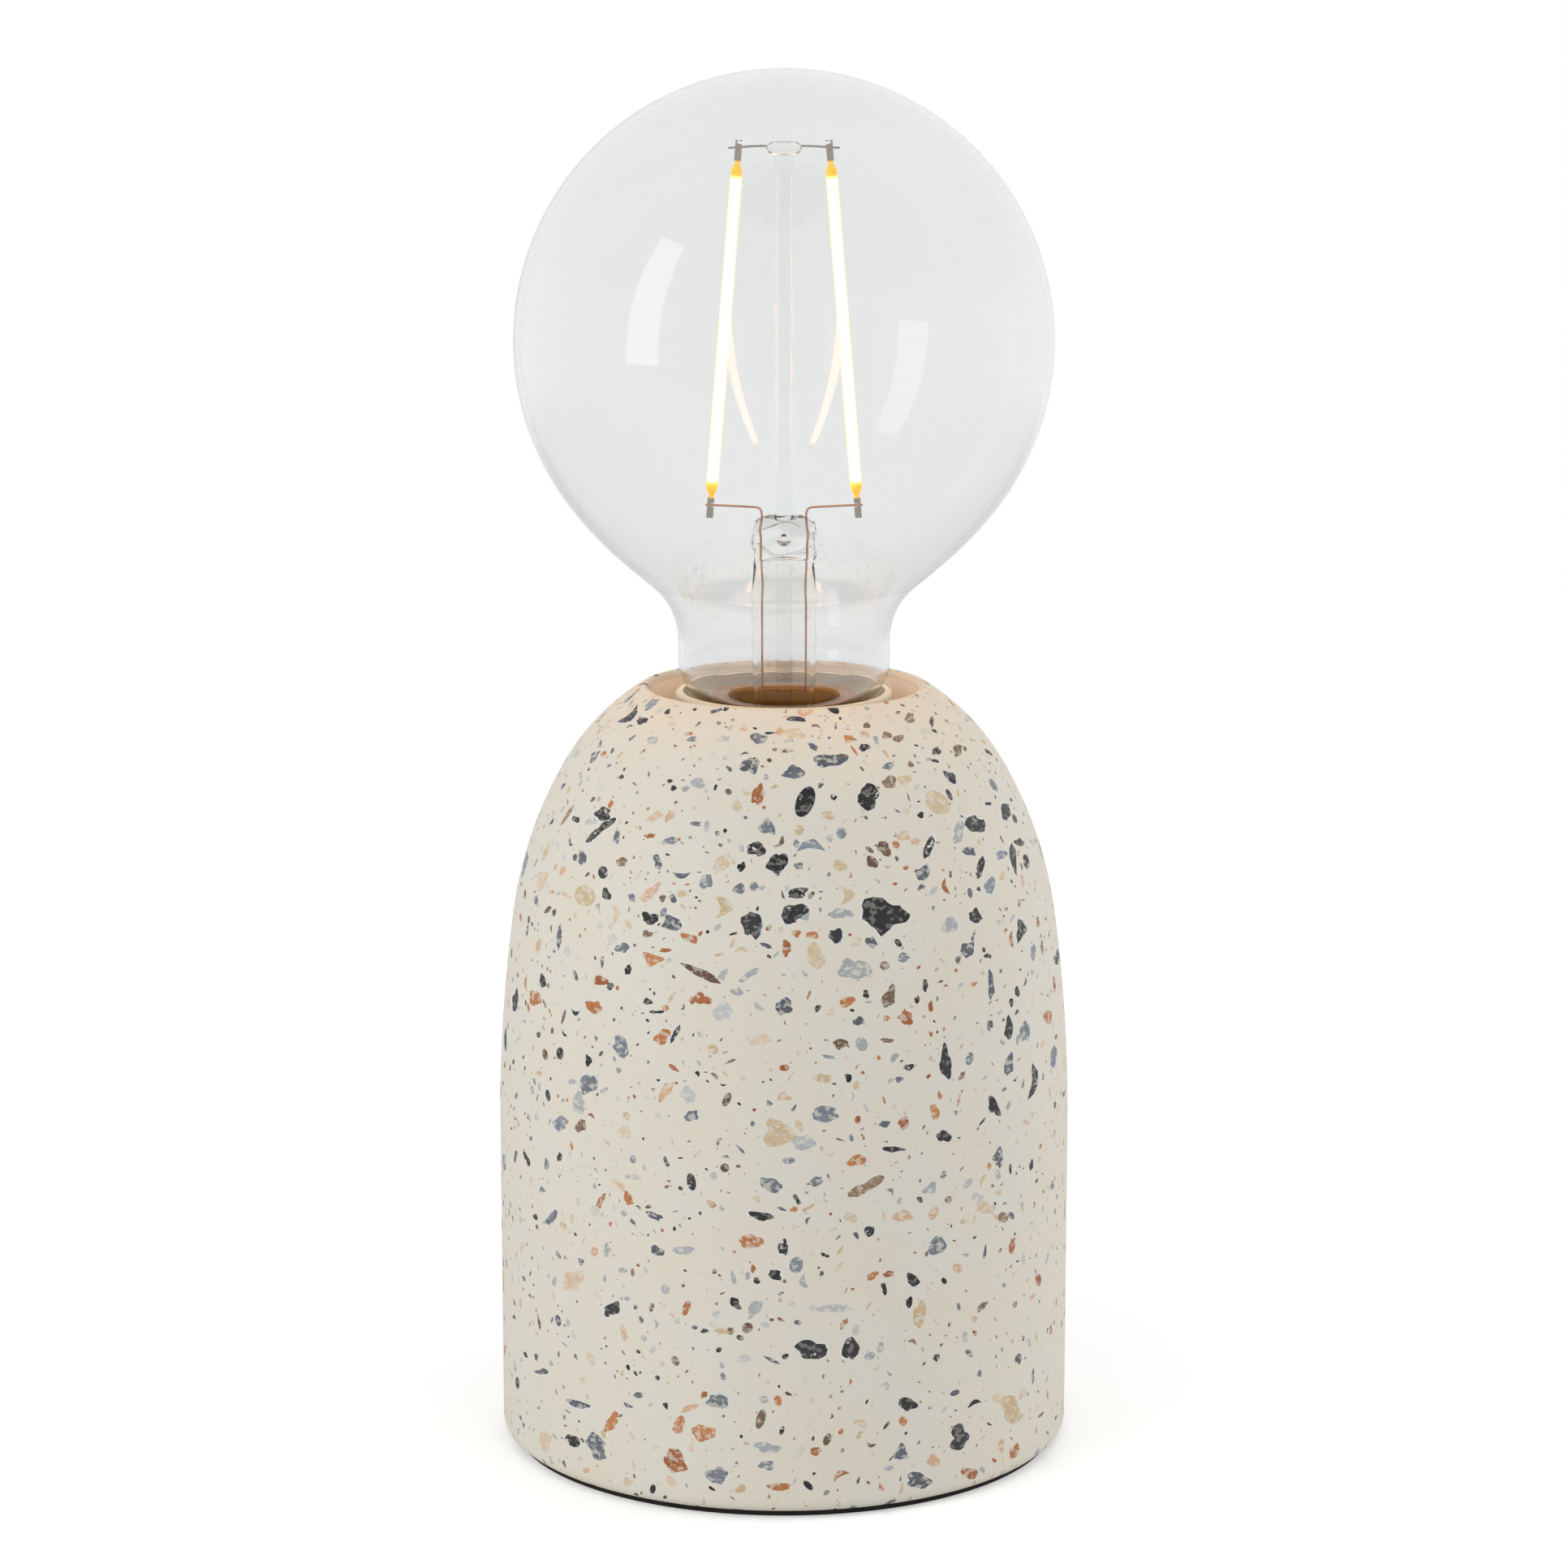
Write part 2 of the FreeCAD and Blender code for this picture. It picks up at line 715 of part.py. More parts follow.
def holder_casing():
    """The holder's cap, which the tube screws into, its plain skirt, and the locking screw."""
    neck_top = holder_bottom + s.holder_neck_height
    cone_top = neck_top + s.holder_cone_height
    rim_top = cone_top + s.holder_rim_height
    spigot_top = rim_top + s.spigot_height
    floor_z = holder_bottom + s.holder_floor
    cap = turned(
        "cap_turning",
        [
            (s.tube_radius, holder_bottom),
            (s.holder_neck_radius, holder_bottom),
            (s.holder_neck_radius, neck_top),
            (s.holder_radius, cone_top),
            (s.holder_radius, rim_top),
            (s.spigot_radius, rim_top),
            (s.spigot_radius, spigot_top),
            (s.core_radius, spigot_top),
            (s.core_radius, core_bottom),
            (s.holder_ledge_radius, core_bottom),
            (s.holder_ledge_radius, floor_z + s.holder_funnel_height),
            (s.holder_funnel_radius, floor_z),
            (s.tube_radius, floor_z),
        ],
    )
    grub_z = holder_bottom + s.holder_neck_height / 2
    grub_hole = bar(
        "grub_hole", s.grub_radius, s.holder_neck_radius, z=grub_z, **towards("+X")
    )
    keep("holder_cap", cut("holder_cap", cap, grub_hole))
    screw = bar("grub", s.grub_radius, s.holder_neck_radius, z=grub_z, **towards("+X"))
    clear = bar("grub_clear", s.tube_radius, floor_top + s.holder_height)
    keep("holder_grub_screw", cut("holder_grub_screw", screw, clear))
    inner = s.holder_radius - s.skirt_wall
    ring_low = core_top + s.shell_thick
    ring_high = ring_low + s.clamp_ring_thick
    keep(
        "holder_shell",
        turned(
            "holder_shell",
            [
                (s.spigot_radius, rim_top),
                (s.holder_radius, rim_top),
                (s.holder_radius, holder_top - s.skirt_round),
                (s.holder_radius - s.skirt_round, holder_top, -s.skirt_round),
                (inner, holder_top),
                (inner, ring_high),
                (s.clamp_ring_radius, ring_high),
                (s.clamp_ring_radius, ring_low),
                (s.spigot_radius, ring_low),
            ],
        ),
    )


def holder_core():
    """The insulating core: a cup that carries both contacts and the threaded shell."""
    cup = turned(
        "core_cup",
        [
            (nil, core_bottom),
            (s.core_radius, core_bottom),
            (s.core_radius, core_top),
            (s.core_well_radius, core_top),
            (s.core_well_radius, core_floor_top),
            (nil, core_floor_top),
        ],
    )
    pocket_side = s.terminal_width + s.easy_gap
    tools = []
    for sign, name in ((1, "live"), (-1, "neutral")):
        reach = s.terminal_reach * sign
        tools.append(
            block(f"{name}_pocket", pocket_side, pocket_side, s.terminal_pocket, x=reach, z=core_bottom)
        )
        tools.append(bar(f"{name}_rivet_hole", s.rivet_radius, core_floor_top, x=reach))
    keep("holder_insert", cut("holder_insert", cup, *tools))


def terminals():
    """The two screw terminals under the core, and the rivets that join them to the contacts."""
    clamp_top = core_bottom + s.terminal_pocket
    clamp_low = clamp_top - s.terminal_height
    screw_z = (clamp_low + core_bottom) / 2
    clamps, screws, rivets = [], [], []
    for sign, side in ((1, "+X"), (-1, "-X")):
        reach = s.terminal_reach * sign
        body = block(
            f"clamp_body_{sign}", s.terminal_width, s.terminal_width, s.terminal_height,
            x=reach, z=clamp_low,
        )
        wire_hole = bar(
            f"clamp_bore_{sign}", s.wire_hole_radius, s.wire_hole_depth,
            x=reach, z=clamp_low,
        )
        thread = bar(
            f"clamp_thread_{sign}", s.terminal_screw_radius, s.terminal_width,
            x=reach, z=screw_z, **towards(side),
        )
        clamps.append(cut(f"clamp_cut_{sign}", body, wire_hole, thread))
        start = (s.terminal_reach + s.lead_radius) * sign
        screws.append(
            bar(
                f"clamp_screw_{sign}", s.terminal_screw_radius, s.terminal_screw_length,
                x=start, z=screw_z, **towards(side),
            )
        )
        rivet = turned(
            f"rivet_{sign}",
            [
                (nil, clamp_top),
                (s.rivet_radius, clamp_top),
                (s.rivet_radius, core_floor_top + s.strip_thick),
                (s.rivet_head_radius, core_floor_top + s.strip_thick),
                (s.rivet_radius, core_floor_top + s.strip_thick + s.rivet_head_thick),
                (nil, core_floor_top + s.strip_thick + s.rivet_head_thick),
            ],
        )
        place(rivet, x=reach)
        rivets.append(rivet)
    keep("terminal_clamps", group("terminal_clamps", *clamps))
    keep("clamp_screws", group("clamp_screws", *screws))
    keep("contact_rivets", group("contact_rivets", *rivets))


def contacts():
    """The side contact, the centre contact's foot, and the sprung tongue under the bulb's tip."""
    low = core_floor_top
    high = low + s.strip_thick
    side = cut_strip(
        "side_strip",
        [
            (-s.side_strip_reach, low),
            (-s.strip_inner_end, low),
            (-s.strip_inner_end, high),
            (-s.side_strip_reach + s.strip_thick, high),
            (-s.side_strip_reach + s.strip_thick, core_top),
            (-s.side_strip_reach, core_top),
        ],
        s.strip_width,
    )
    side_hole = bar("side_hole", s.rivet_radius, core_top, x=-s.terminal_reach)
    keep("side_contact", cut("side_contact", side, side_hole))
    foot = cut_strip(
        "foot_strip",
        [
            (s.strip_inner_end, low),
            (s.live_foot_reach, low),
            (s.live_foot_reach, high),
            (s.strip_inner_end, high),
        ],
        s.strip_width,
    )
    foot_hole = bar("foot_hole", s.rivet_radius, core_top, x=s.terminal_reach)
    keep("centre_contact_foot", cut("centre_contact_foot", foot, foot_hole))
    pivot_z = high + s.running_gap + s.tongue_knuckle_radius
    crest = tip_bottom - s.running_gap
    tongue = cut_strip(
        "tongue_strip",
        [
            (s.tongue_pivot_reach, pivot_z),
            (s.tongue_pivot_reach, pivot_z + s.strip_thick),
            (s.tongue_flat, crest),
            (-s.tongue_flat, crest),
            (-s.tongue_tip_reach, crest - s.tongue_tip_drop),
            (-s.tongue_tip_reach, crest - s.tongue_tip_drop - s.strip_thick),
            (-s.tongue_flat, crest - s.strip_thick),
            (s.tongue_flat, crest - s.strip_thick),
        ],
        s.strip_width,
    )
    knuckle = bar(
        "tongue_knuckle", s.tongue_knuckle_radius, s.strip_width,
        x=s.tongue_pivot_reach, y=-s.strip_width / 2, z=pivot_z, **towards("+Y"),
    )
    keep("centre_contact", fuse("centre_contact", tongue, knuckle))


def thread_sheet(name, root_radius, rows):
    """A thin threaded shell: one closed surface that climbs one face and comes down the other.

    A row is (radius added to the root, height, share of the thread's depth, share of the
    depth that is there all round).
    """
    count = round(1 / THREAD_POINTS_SHARE)
    # A cubic surface runs inside its control points by these ratios on a circle and a wave.
    fullness = 3 / (2 + math.cos(2 * math.pi * THREAD_POINTS_SHARE))
    wave_fullness = 3 / (2 + math.cos(2 * math.pi * THREAD_STEP_SHARE))
    poles = []
    for i in range(count):
        angle = 2 * math.pi * i * THREAD_POINTS_SHARE
        column = []
        for offset, height, wave, solid in rows:
            phase = 2 * math.pi * height / s.thread_pitch.value - angle
            crest = wave * (1 + wave_fullness * math.cos(phase)) / 2 + solid
            radius = (root_radius + offset + s.thread_depth.value * crest) * fullness
            column.append(Vector(radius * math.cos(angle), radius * math.sin(angle), height))
        poles.append(column)
    surface = Part.BSplineSurface()
    length = len(rows)
    surface.buildFromPolesMultsKnots(
        poles, [1] * (count + 1), [1] * (length + 1),
        list(range(count + 1)), list(range(length + 1)), True, True, 3, 3,
    )
    feature = doc.addObject("Part::Feature", name)
    feature.Shape = Part.makeSolid(Part.Shell([surface.toShape()]))
    return feature


def levels(low, high):
    """Heights from low to high, in steps of a share of the pitch."""
    steps = round((high - low) / (s.thread_pitch.value * THREAD_STEP_SHARE))
    return [low + (high - low) * k / steps for k in range(steps + 1)]


def socket_shell():
    """The holder's threaded shell, which stands on the core by its turned-out foot."""
    low = core_top.value
    high = low + s.shell_height.value
    thick = s.shell_thick.value
    pitch = s.thread_pitch.value
    flange = s.shell_flange_radius.value - s.thread_root_radius.value - s.thread_gap.value

    def wave(z):
        return min(1.0, max(0.0, (z - low) / pitch - THREAD_STEP_SHARE), (high - z) / pitch)

    climb = levels(low + thick, high)
    edge = flange - s.thread_depth.value
    middle = (edge + thick) / 2
    rows = [(edge, low, 0, 1), (edge, low + thick, 0, 1), (middle, low + thick, 0, 1)]
    rows += [(thick + thick, low + thick, 0, 1)]
    rows += [(thick, z, wave(z), 1 - wave(z)) for z in climb[1:]]
    rows += [(0.0, z, wave(z), 1 - wave(z)) for z in reversed(climb)]
    rows += [(0.0, low, 0, 1), (middle, low, 0, 1)]
    root_radius = s.thread_root_radius.value + s.thread_gap.value
    keep("socket_thread_shell", thread_sheet("socket_thread_shell", root_radius, rows))


def bulb_cap():
    """The bulb's threaded cap, its insulator and tip, and the cement that holds the glass."""
    low, high = cap_bottom.value, cap_top.value
    pitch = s.thread_pitch.value

    def wave(z):
        return min(1.0, (z - low) / pitch, (high - z) / pitch)

    climb = levels(low, high)
    rows = [(0.0, z, wave(z), 0) for z in climb]
    rows += [(-s.cap_sheet.value, z, wave(z), 0) for z in reversed(climb)]
    keep("cap_shell", thread_sheet("cap_shell", s.thread_root_radius.value, rows))
    inner = s.thread_root_radius - s.cap_sheet
    tip_top = tip_bottom + s.tip_thick
    rim_top = cap_bottom + s.vitrite_rim
    keep(
        "cap_insulator",
        turned(
            "cap_insulator",
            [
                (s.vitrite_bore_radius, tip_top),
                (s.vitrite_foot_radius, tip_top),
                (inner - s.running_gap, cap_bottom),
                (inner - s.running_gap, rim_top),
                (s.vitrite_bore_radius, rim_top),
            ],
        ),
    )
    dome = (s.tip_radius * s.tip_radius + s.tip_dome * s.tip_dome) / (s.tip_dome * 2)
    keep(
        "cap_tip_contact",
        domed(
            "cap_tip_contact",
            [
                (nil, tip_bottom),
                (s.tip_radius, tip_bottom + s.tip_dome, -dome),
                (s.tip_radius, tip_top),
                (nil, tip_top),
            ],
        ),
    )
    tail_r = s.neck_radius - s.heel_round
    cement_high = cap_top - s.cement_sink
    keep(
        "cap_cement",
        ring("cap_cement", inner, tail_r, cement_high - s.cement_height, cement_high),
    )


def globe_glass():
    """The blown globe with its neck and the tail that the cap holds, one wall thick all over."""
    tail_r = s.neck_radius - s.heel_round
    tail_z = cap_top - s.glass_tail
    throat_r = under_reach - throat_across

    def wall_in(r, z, turn, depth):
        """The point this deep under the skin, where the skin's turn from the axis is given."""
        return r - depth * sine(turn), z + depth * cosine(turn)

    globe_r = s.globe_radius * sine(s.globe_turn)
    globe_z = globe_middle - s.globe_radius * cosine(s.globe_turn)
    t = s.glass_wall
    in_throat = wall_in(throat_r, throat_high, s.under_turn, t)
    in_under = wall_in(under_reach, under_high, s.under_turn, t)
    in_globe = wall_in(globe_r, globe_z, s.globe_turn, t)
    keep(
        "globe_glass",
        domed(
            "globe_glass",
            [
                (nil, globe_middle + s.globe_radius),
                (globe_r, globe_z, s.globe_radius),
                (under_reach, under_high, s.under_arc),
                (throat_r, throat_high),
                (s.neck_radius, neck_top, -s.throat_arc),
                (s.neck_radius, heel_middle),
                (tail_r, heel_middle - s.heel_round, s.heel_round),
                (tail_r, tail_z),
                (tail_r - t, tail_z),
                (tail_r - t, heel_middle - s.heel_round + t),
                (tail_r, heel_middle - s.heel_round + t),
                (s.neck_radius - t, heel_middle, t - s.heel_round),
                (s.neck_radius - t, neck_top),
                (*in_throat, s.throat_arc + t),
                in_under,
                (*in_globe, t - s.under_arc),
                (nil, globe_middle + s.globe_radius - t, t - s.globe_radius),
            ],
        ),
    )


def lead_in_points(side):
    """The way of a lead-in wire from the driver board up through the stem to a filament."""
    x = s.lead_wire_side * side
    foot = s.filament_foot_reach * side
    high = press_top + s.lead_wire_rise
    return [
        (x, nil, board_top),
        (x, nil, press_top + s.lead_wire_radius),
        ((s.lead_wire_side + s.rod_radius) * side, nil, high - s.lead_wire_radius),
        (foot, nil, high),
    ]


def stem():
    """The glass stem: flare, pinched press, exhaust tube and the rod that carries the anchor."""
    tail_inner = s.neck_radius - s.heel_round - s.glass_wall
    foot_low = cap_top - s.glass_tail
    foot_top = foot_low + s.flare_foot
    flare_top = foot_top + s.flare_drop
    out = tail_inner - s.flare_radius
    bell = (out * out + s.flare_drop * s.flare_drop) / (out * 2)
    wall = s.flare_wall
    tube = turned(
        "flare_tube",
        [
            (tail_inner - wall, foot_low),
            (tail_inner, foot_low),
            (tail_inner, foot_top),
            (s.flare_radius, flare_top, -bell),
            (s.flare_radius, press_bottom),
            (s.flare_radius - wall, press_bottom),
            (s.flare_radius - wall, flare_top),
            (tail_inner - wall, foot_top, bell),
        ],
    )
    shapes = []
    widths = (
        (s.flare_radius, s.flare_radius, press_bottom),
        (s.press_half_width, s.press_half_depth, press_bottom + s.press_blend),
        (s.press_half_width, s.press_half_depth, press_top),
    )
    for number, (half_width, half_depth, z) in enumerate(widths):
        oval = doc.addObject("Part::Ellipse", f"press_section_{number}")
        if half_width is half_depth:
            oval = doc.addObject("Part::Circle", "press_section_round")
            bind(oval, Radius=half_width)
        else:
            bind(oval, MajorRadius=half_width, MinorRadius=half_depth)
        place(oval, z=z)
        shapes.append(oval)
    press = doc.addObject("Part::Loft", "press")
    press.Sections = shapes
    press.Solid = True
    press.Ruled = True
    wires = [
        wire_along(f"stem_wire_{side}", s.lead_wire_radius, lead_in_points(side))
        for side in (1, -1)
    ]
    blow_hole = bar(
        "blow_hole", s.blow_hole_radius, s.flare_radius * 2,
        y=-s.flare_radius, z=press_bottom + s.blow_hole_height, **towards("+Y"),
    )
    solid = fuse("stem_solid", tube, press)
    keep("stem_flare", cut("stem_flare", solid, blow_hole, *wires))
    exhaust_low = press_bottom - s.exhaust_length
    keep(
        "exhaust_tube",
        turned(
            "exhaust_tube",
            [
                (nil, exhaust_low),
                (s.exhaust_radius, exhaust_low + s.exhaust_seal),
                (s.exhaust_radius, press_bottom),
                (s.exhaust_bore_radius, press_bottom),
                (s.exhaust_bore_radius, exhaust_low + s.exhaust_seal),
                (nil, exhaust_low + s.exhaust_seal),
            ],
        ),
    )
    bead_middle = rod_top + s.bead_height / 2
    rod = turned(
        "rod_and_bead",
        [
            (nil, press_top),
            (s.rod_radius, press_top),
            (s.rod_radius, rod_top),
            (s.bead_radius, bead_middle, -s.bead_round),
            (s.rod_radius, rod_top + s.bead_height, -s.bead_round),
            (nil, rod_top + s.bead_height),
        ],
    )
    anchor = wire_along("rod_anchor_tool", s.anchor_radius, anchor_points())
    keep("support_rod", cut("support_rod", rod, anchor))


def anchor_points():
    """The wire through the bead that joins the tops of the two filaments."""
    middle = rod_top + s.anchor_in_bead
    high = middle + s.anchor_rise
    half = [(s.filament_top_reach, nil, high), (s.bead_radius, nil, middle)]
    return half + [mirrored(point) for point in reversed(half)]


def filaments():
    """Two coated filaments that lean together at the top, their tabs, and their wires."""
    low = press_top + s.filament_foot
    high = rod_top - s.filament_head_gap
    lean_across = s.filament_foot_reach - s.filament_top_reach
    lean_up = high - low
    length = root(lean_across * lean_across + lean_up * lean_up)
    lean = slope(lean_across, lean_up)
    anchor = wire_along("top_anchor_wire", s.anchor_radius, anchor_points())
    keep("top_anchor_wire", anchor)
    wires = [
        wire_along(f"lead_in_wire_{side}", s.lead_wire_radius, lead_in_points(side))
        for side in (1, -1)
    ]
    keep("lead_in_wires", group("lead_in_wires", *wires))
    tabs = []
    for side, name in ((1, "filament_right"), (-1, "filament_left")):
        where = {"axis": Vector(0, -side, 0), "angle": lean}
        foot_x = s.filament_foot_reach * side
        keep(name, bar(name, s.filament_radius, length, x=foot_x, z=low, **where))
        for end, start in (("top", length), ("foot", -s.tab_length)):
            tab = doc.addObject("Part::Box", f"tab_{name}_{end}")
            bind(tab, Length=s.tab_width, Width=s.tab_thick, Height=s.tab_length)
            half = s.tab_width / 2
            along_x = foot_x - start * sine(lean) * side - half * cosine(lean)
            along_z = low + start * cosine(lean) - half * sine(lean) * side
            place(tab, along_x, -s.tab_thick / 2, along_z, **where)
            tabs.append(tab)
    tab_group = fuse("tab_group", *tabs)
    keep("filament_tabs", cut("filament_tabs", tab_group, anchor, *wires))


def driver():
    """The small driver board in the cap, its parts, and its wires to the tip and the cap."""
    keep("driver_board", disc("driver_board", s.board_radius, board_bottom, board_top))
    can = bar(
        "capacitor", s.capacitor_radius, s.capacitor_height, y=s.capacitor_reach, z=board_top
    )
    bridge = block(
        "bridge", s.bridge_length, s.bridge_width, s.bridge_height, y=-s.capacitor_reach, z=board_top
    )
    chip = block(
        "chip", s.chip_width, s.chip_length, s.chip_height, x=s.chip_reach, z=board_top
    )
    keep("driver_parts", group("driver_parts", can, bridge, chip))
    tip_gap = tip_bottom + s.tip_thick + s.running_gap
    tip_wire = bar("tip_wire", s.driver_wire_radius, board_bottom - tip_gap, z=tip_gap)
    edge = s.board_radius - s.driver_wire_inset
    shell_z = board_top + s.driver_wire_rise
    inner = s.thread_root_radius - s.cap_sheet
    side_wire = wire_along(
        "side_wire", s.driver_wire_radius,
        [
            (-edge, nil, board_top),
            (-edge, nil, shell_z),
            (s.driver_wire_radius - inner, nil, shell_z + s.driver_wire_inset),
        ],
    )
    keep("driver_wires", group("driver_wires", tip_wire, side_wire))


def lead_points(side):
    """The way of an internal lead: terminal, tube, then down to the block on the plate."""
    clamp_low = core_bottom + s.terminal_pocket - s.terminal_height
    tube_top = holder_bottom + s.holder_floor + s.tube_above_holder_floor
    reach = s.terminal_reach * side
    pole = s.block_pole * side
    entry = cover_top + s.block_height / 2
    inside = s.lead_side * side
    return [
        (reach, nil, clamp_low + s.lead_reach_in_clamp),
        (reach, nil, clamp_low - s.lead_below_clamp),
        (inside, nil, tube_top + s.lead_above_tube),
        (inside, nil, s.lead_straight_to),
        (s.lead_slack_side * side, -s.lead_slack_front, s.lead_slack_height),
        (pole, block_front - s.lead_bow_run, s.lead_bow_height),
        (pole, block_front - s.lead_entry_run, entry),
        (pole, block_front + s.lead_in_block, entry),
    ]


def leads_and_block():
    """The two internal leads, and the terminal block where the supply cable is joined to them."""
    for side, name in ((1, "live_lead"), (-1, "neutral_lead")):
        keep(name, wire_along(name, s.lead_radius, lead_points(side)))
    middle_y = block_front + s.block_width / 2
    tube_z = cover_top + s.block_height / 2
    body = block(
        "block_body", s.block_length, s.block_width, s.block_height, y=middle_y, z=cover_top
    )
    top = cover_top + s.block_height
    tools, tubes, screws = [], [], []
    fixing_hole = bar("fixing_hole", s.block_fixing_radius, top, y=middle_y)
    head_low = top - s.block_fixing_head_thick
    head_hole = bar(
        "fixing_sink", s.block_fixing_head_radius, s.block_fixing_head_thick,
        y=middle_y, z=head_low,
    )
    for side in (1, -1):
        pole = s.block_pole * side
        tube_y = middle_y - s.block_tube_length / 2
        channel = bar(
            f"channel_{side}", s.block_tube_radius, s.block_width,
            x=pole, y=block_front, z=tube_z, **towards("+Y"),
        )
        tools.append(channel)
        sleeve = bar(
            f"sleeve_{side}", s.block_tube_radius, s.block_tube_length,
            x=pole, y=tube_y, z=tube_z, **towards("+Y"),
        )
        bore = bar(
            f"sleeve_bore_{side}", s.wire_hole_radius, s.block_width,
            x=pole, y=block_front, z=tube_z, **towards("+Y"),
        )
        sleeve_tools = [bore]
        for way in (1, -1):
            screw_y = middle_y + s.block_screw_spread * way
            length = top - tube_z - s.lead_radius - s.block_screw_sink
            low = tube_z + s.lead_radius
            screws.append(
                bar(f"block_screw_{side}_{way}", s.block_screw_radius, length, x=pole, y=screw_y, z=low)
            )
            shaft = bar(
                f"screw_shaft_{side}_{way}", s.block_screw_radius, top, x=pole, y=screw_y, z=tube_z
            )
            tools.append(shaft)
            sleeve_tools.append(shaft)
        tubes.append(cut(f"sleeve_cut_{side}", sleeve, *sleeve_tools))
    keep("terminal_block", cut("terminal_block", body, fixing_hole, head_hole, *tools))
    keep("terminal_block_tubes", group("terminal_block_tubes", *tubes))
    keep("terminal_block_screws", group("terminal_block_screws", *screws))
    fixing = turned(
        "block_fixing_screw",
        [
            (nil, s.pad_thick),
            (s.block_fixing_radius, s.pad_thick),
            (s.block_fixing_radius, head_low),
            (s.block_fixing_head_radius, head_low),
            (s.block_fixing_head_radius, top),
            (nil, top),
        ],
    )
    place(fixing, y=middle_y)
    keep("block_fixing_screw", fixing)


def check_document():
    """Stops if any object of the document failed, or any sub-part isn't a sound solid."""
    for item in doc.Objects:
        if "Invalid" in item.State or "Error" in item.State:
            raise RuntimeError(f"{item.Name}: {item.getStatusString()}")
    for name, item in nodes.items():
        if item.Shape.isNull() or not item.Shape.isValid() or item.Shape.Volume <= 0:
            raise RuntimeError(f"{name} has no sound solid")


def main():
    terrazzo_body()
    bottom()
    inlet()
    mounting_tube()
    holder_casing()
    holder_core()
    terminals()
    contacts()
    socket_shell()
    bulb_cap()
    globe_glass()
    stem()
    filaments()
    driver()
    leads_and_block()
    doc.recompute()
    check_document()
    os.makedirs("parts", exist_ok=True)
    for name, item in nodes.items():
        item.Shape.exportStep(f"parts/{name}.step")
        box = item.Shape.BoundBox
        print(
            f"{name}: {len(item.Shape.Solids)} solids, {item.Shape.Volume:.2f} mm3,"
            f" z {box.ZMin:.2f} to {box.ZMax:.2f}, r {max(box.XMax, box.YMax):.2f}"
        )


main()
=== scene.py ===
"""The looks of a terrazzo table lamp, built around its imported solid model.

Lengths are in millimetres, angles in degrees and colours in steps from 0 to 255, unless a
name says otherwise. The lamp stands at the origin with its front towards -Y.
"""

import logging
import math
import random
from dataclasses import dataclass
from enum import Enum
from typing import ClassVar, Iterator, Mapping, Sequence, Union

import bpy
from mathutils import Matrix, Vector
from mathutils.bvhtree import BVHTree
from mathutils.geometry import delaunay_2d_cdt


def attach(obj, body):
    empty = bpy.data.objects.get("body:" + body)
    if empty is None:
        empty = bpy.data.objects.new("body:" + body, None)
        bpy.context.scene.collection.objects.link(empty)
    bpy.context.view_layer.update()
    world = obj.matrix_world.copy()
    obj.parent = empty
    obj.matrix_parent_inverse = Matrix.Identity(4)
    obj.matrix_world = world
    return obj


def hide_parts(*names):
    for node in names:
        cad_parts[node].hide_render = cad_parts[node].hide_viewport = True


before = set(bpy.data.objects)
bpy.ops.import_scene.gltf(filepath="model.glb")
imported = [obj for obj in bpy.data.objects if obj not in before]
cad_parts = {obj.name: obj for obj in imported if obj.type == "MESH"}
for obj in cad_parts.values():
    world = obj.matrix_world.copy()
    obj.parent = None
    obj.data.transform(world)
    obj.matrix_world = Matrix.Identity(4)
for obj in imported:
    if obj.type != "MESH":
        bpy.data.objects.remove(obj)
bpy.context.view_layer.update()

log = logging.getLogger("lamp")

MM = 0.001
# Points of a mesh that are this close are one point, and edges of chips this close meet.
WELD = 1e-4
MEET = 1e-5
Colour = tuple[float, float, float]
Ends = tuple[float, float]


def linear(colour: Colour) -> tuple[float, float, float, float]:
    """Turns a colour in steps of 0 to 255 into the linear light that shaders work in.

    Args:
        colour: Red, green and blue.

    Returns:
        The same colour in linear light, with an alpha of one.
    """
    shares = [step / 255 for step in colour]
    light = [v / 12.92 if v <= 0.04045 else ((v + 0.055) / 1.055) ** 2.4 for v in shares]
    return (light[0], light[1], light[2], 1.0)


def cos_of(turn: float) -> float:
    """The cosine of a turn in degrees."""
    return math.cos(math.radians(turn))


def sin_of(turn: float) -> float:
    """The sine of a turn in degrees."""
    return math.sin(math.radians(turn))


def held(value: float, low: float = 0.0, high: float = 1.0) -> float:
    """The value, held between two ends."""
    return min(max(value, low), high)


# Shader maths


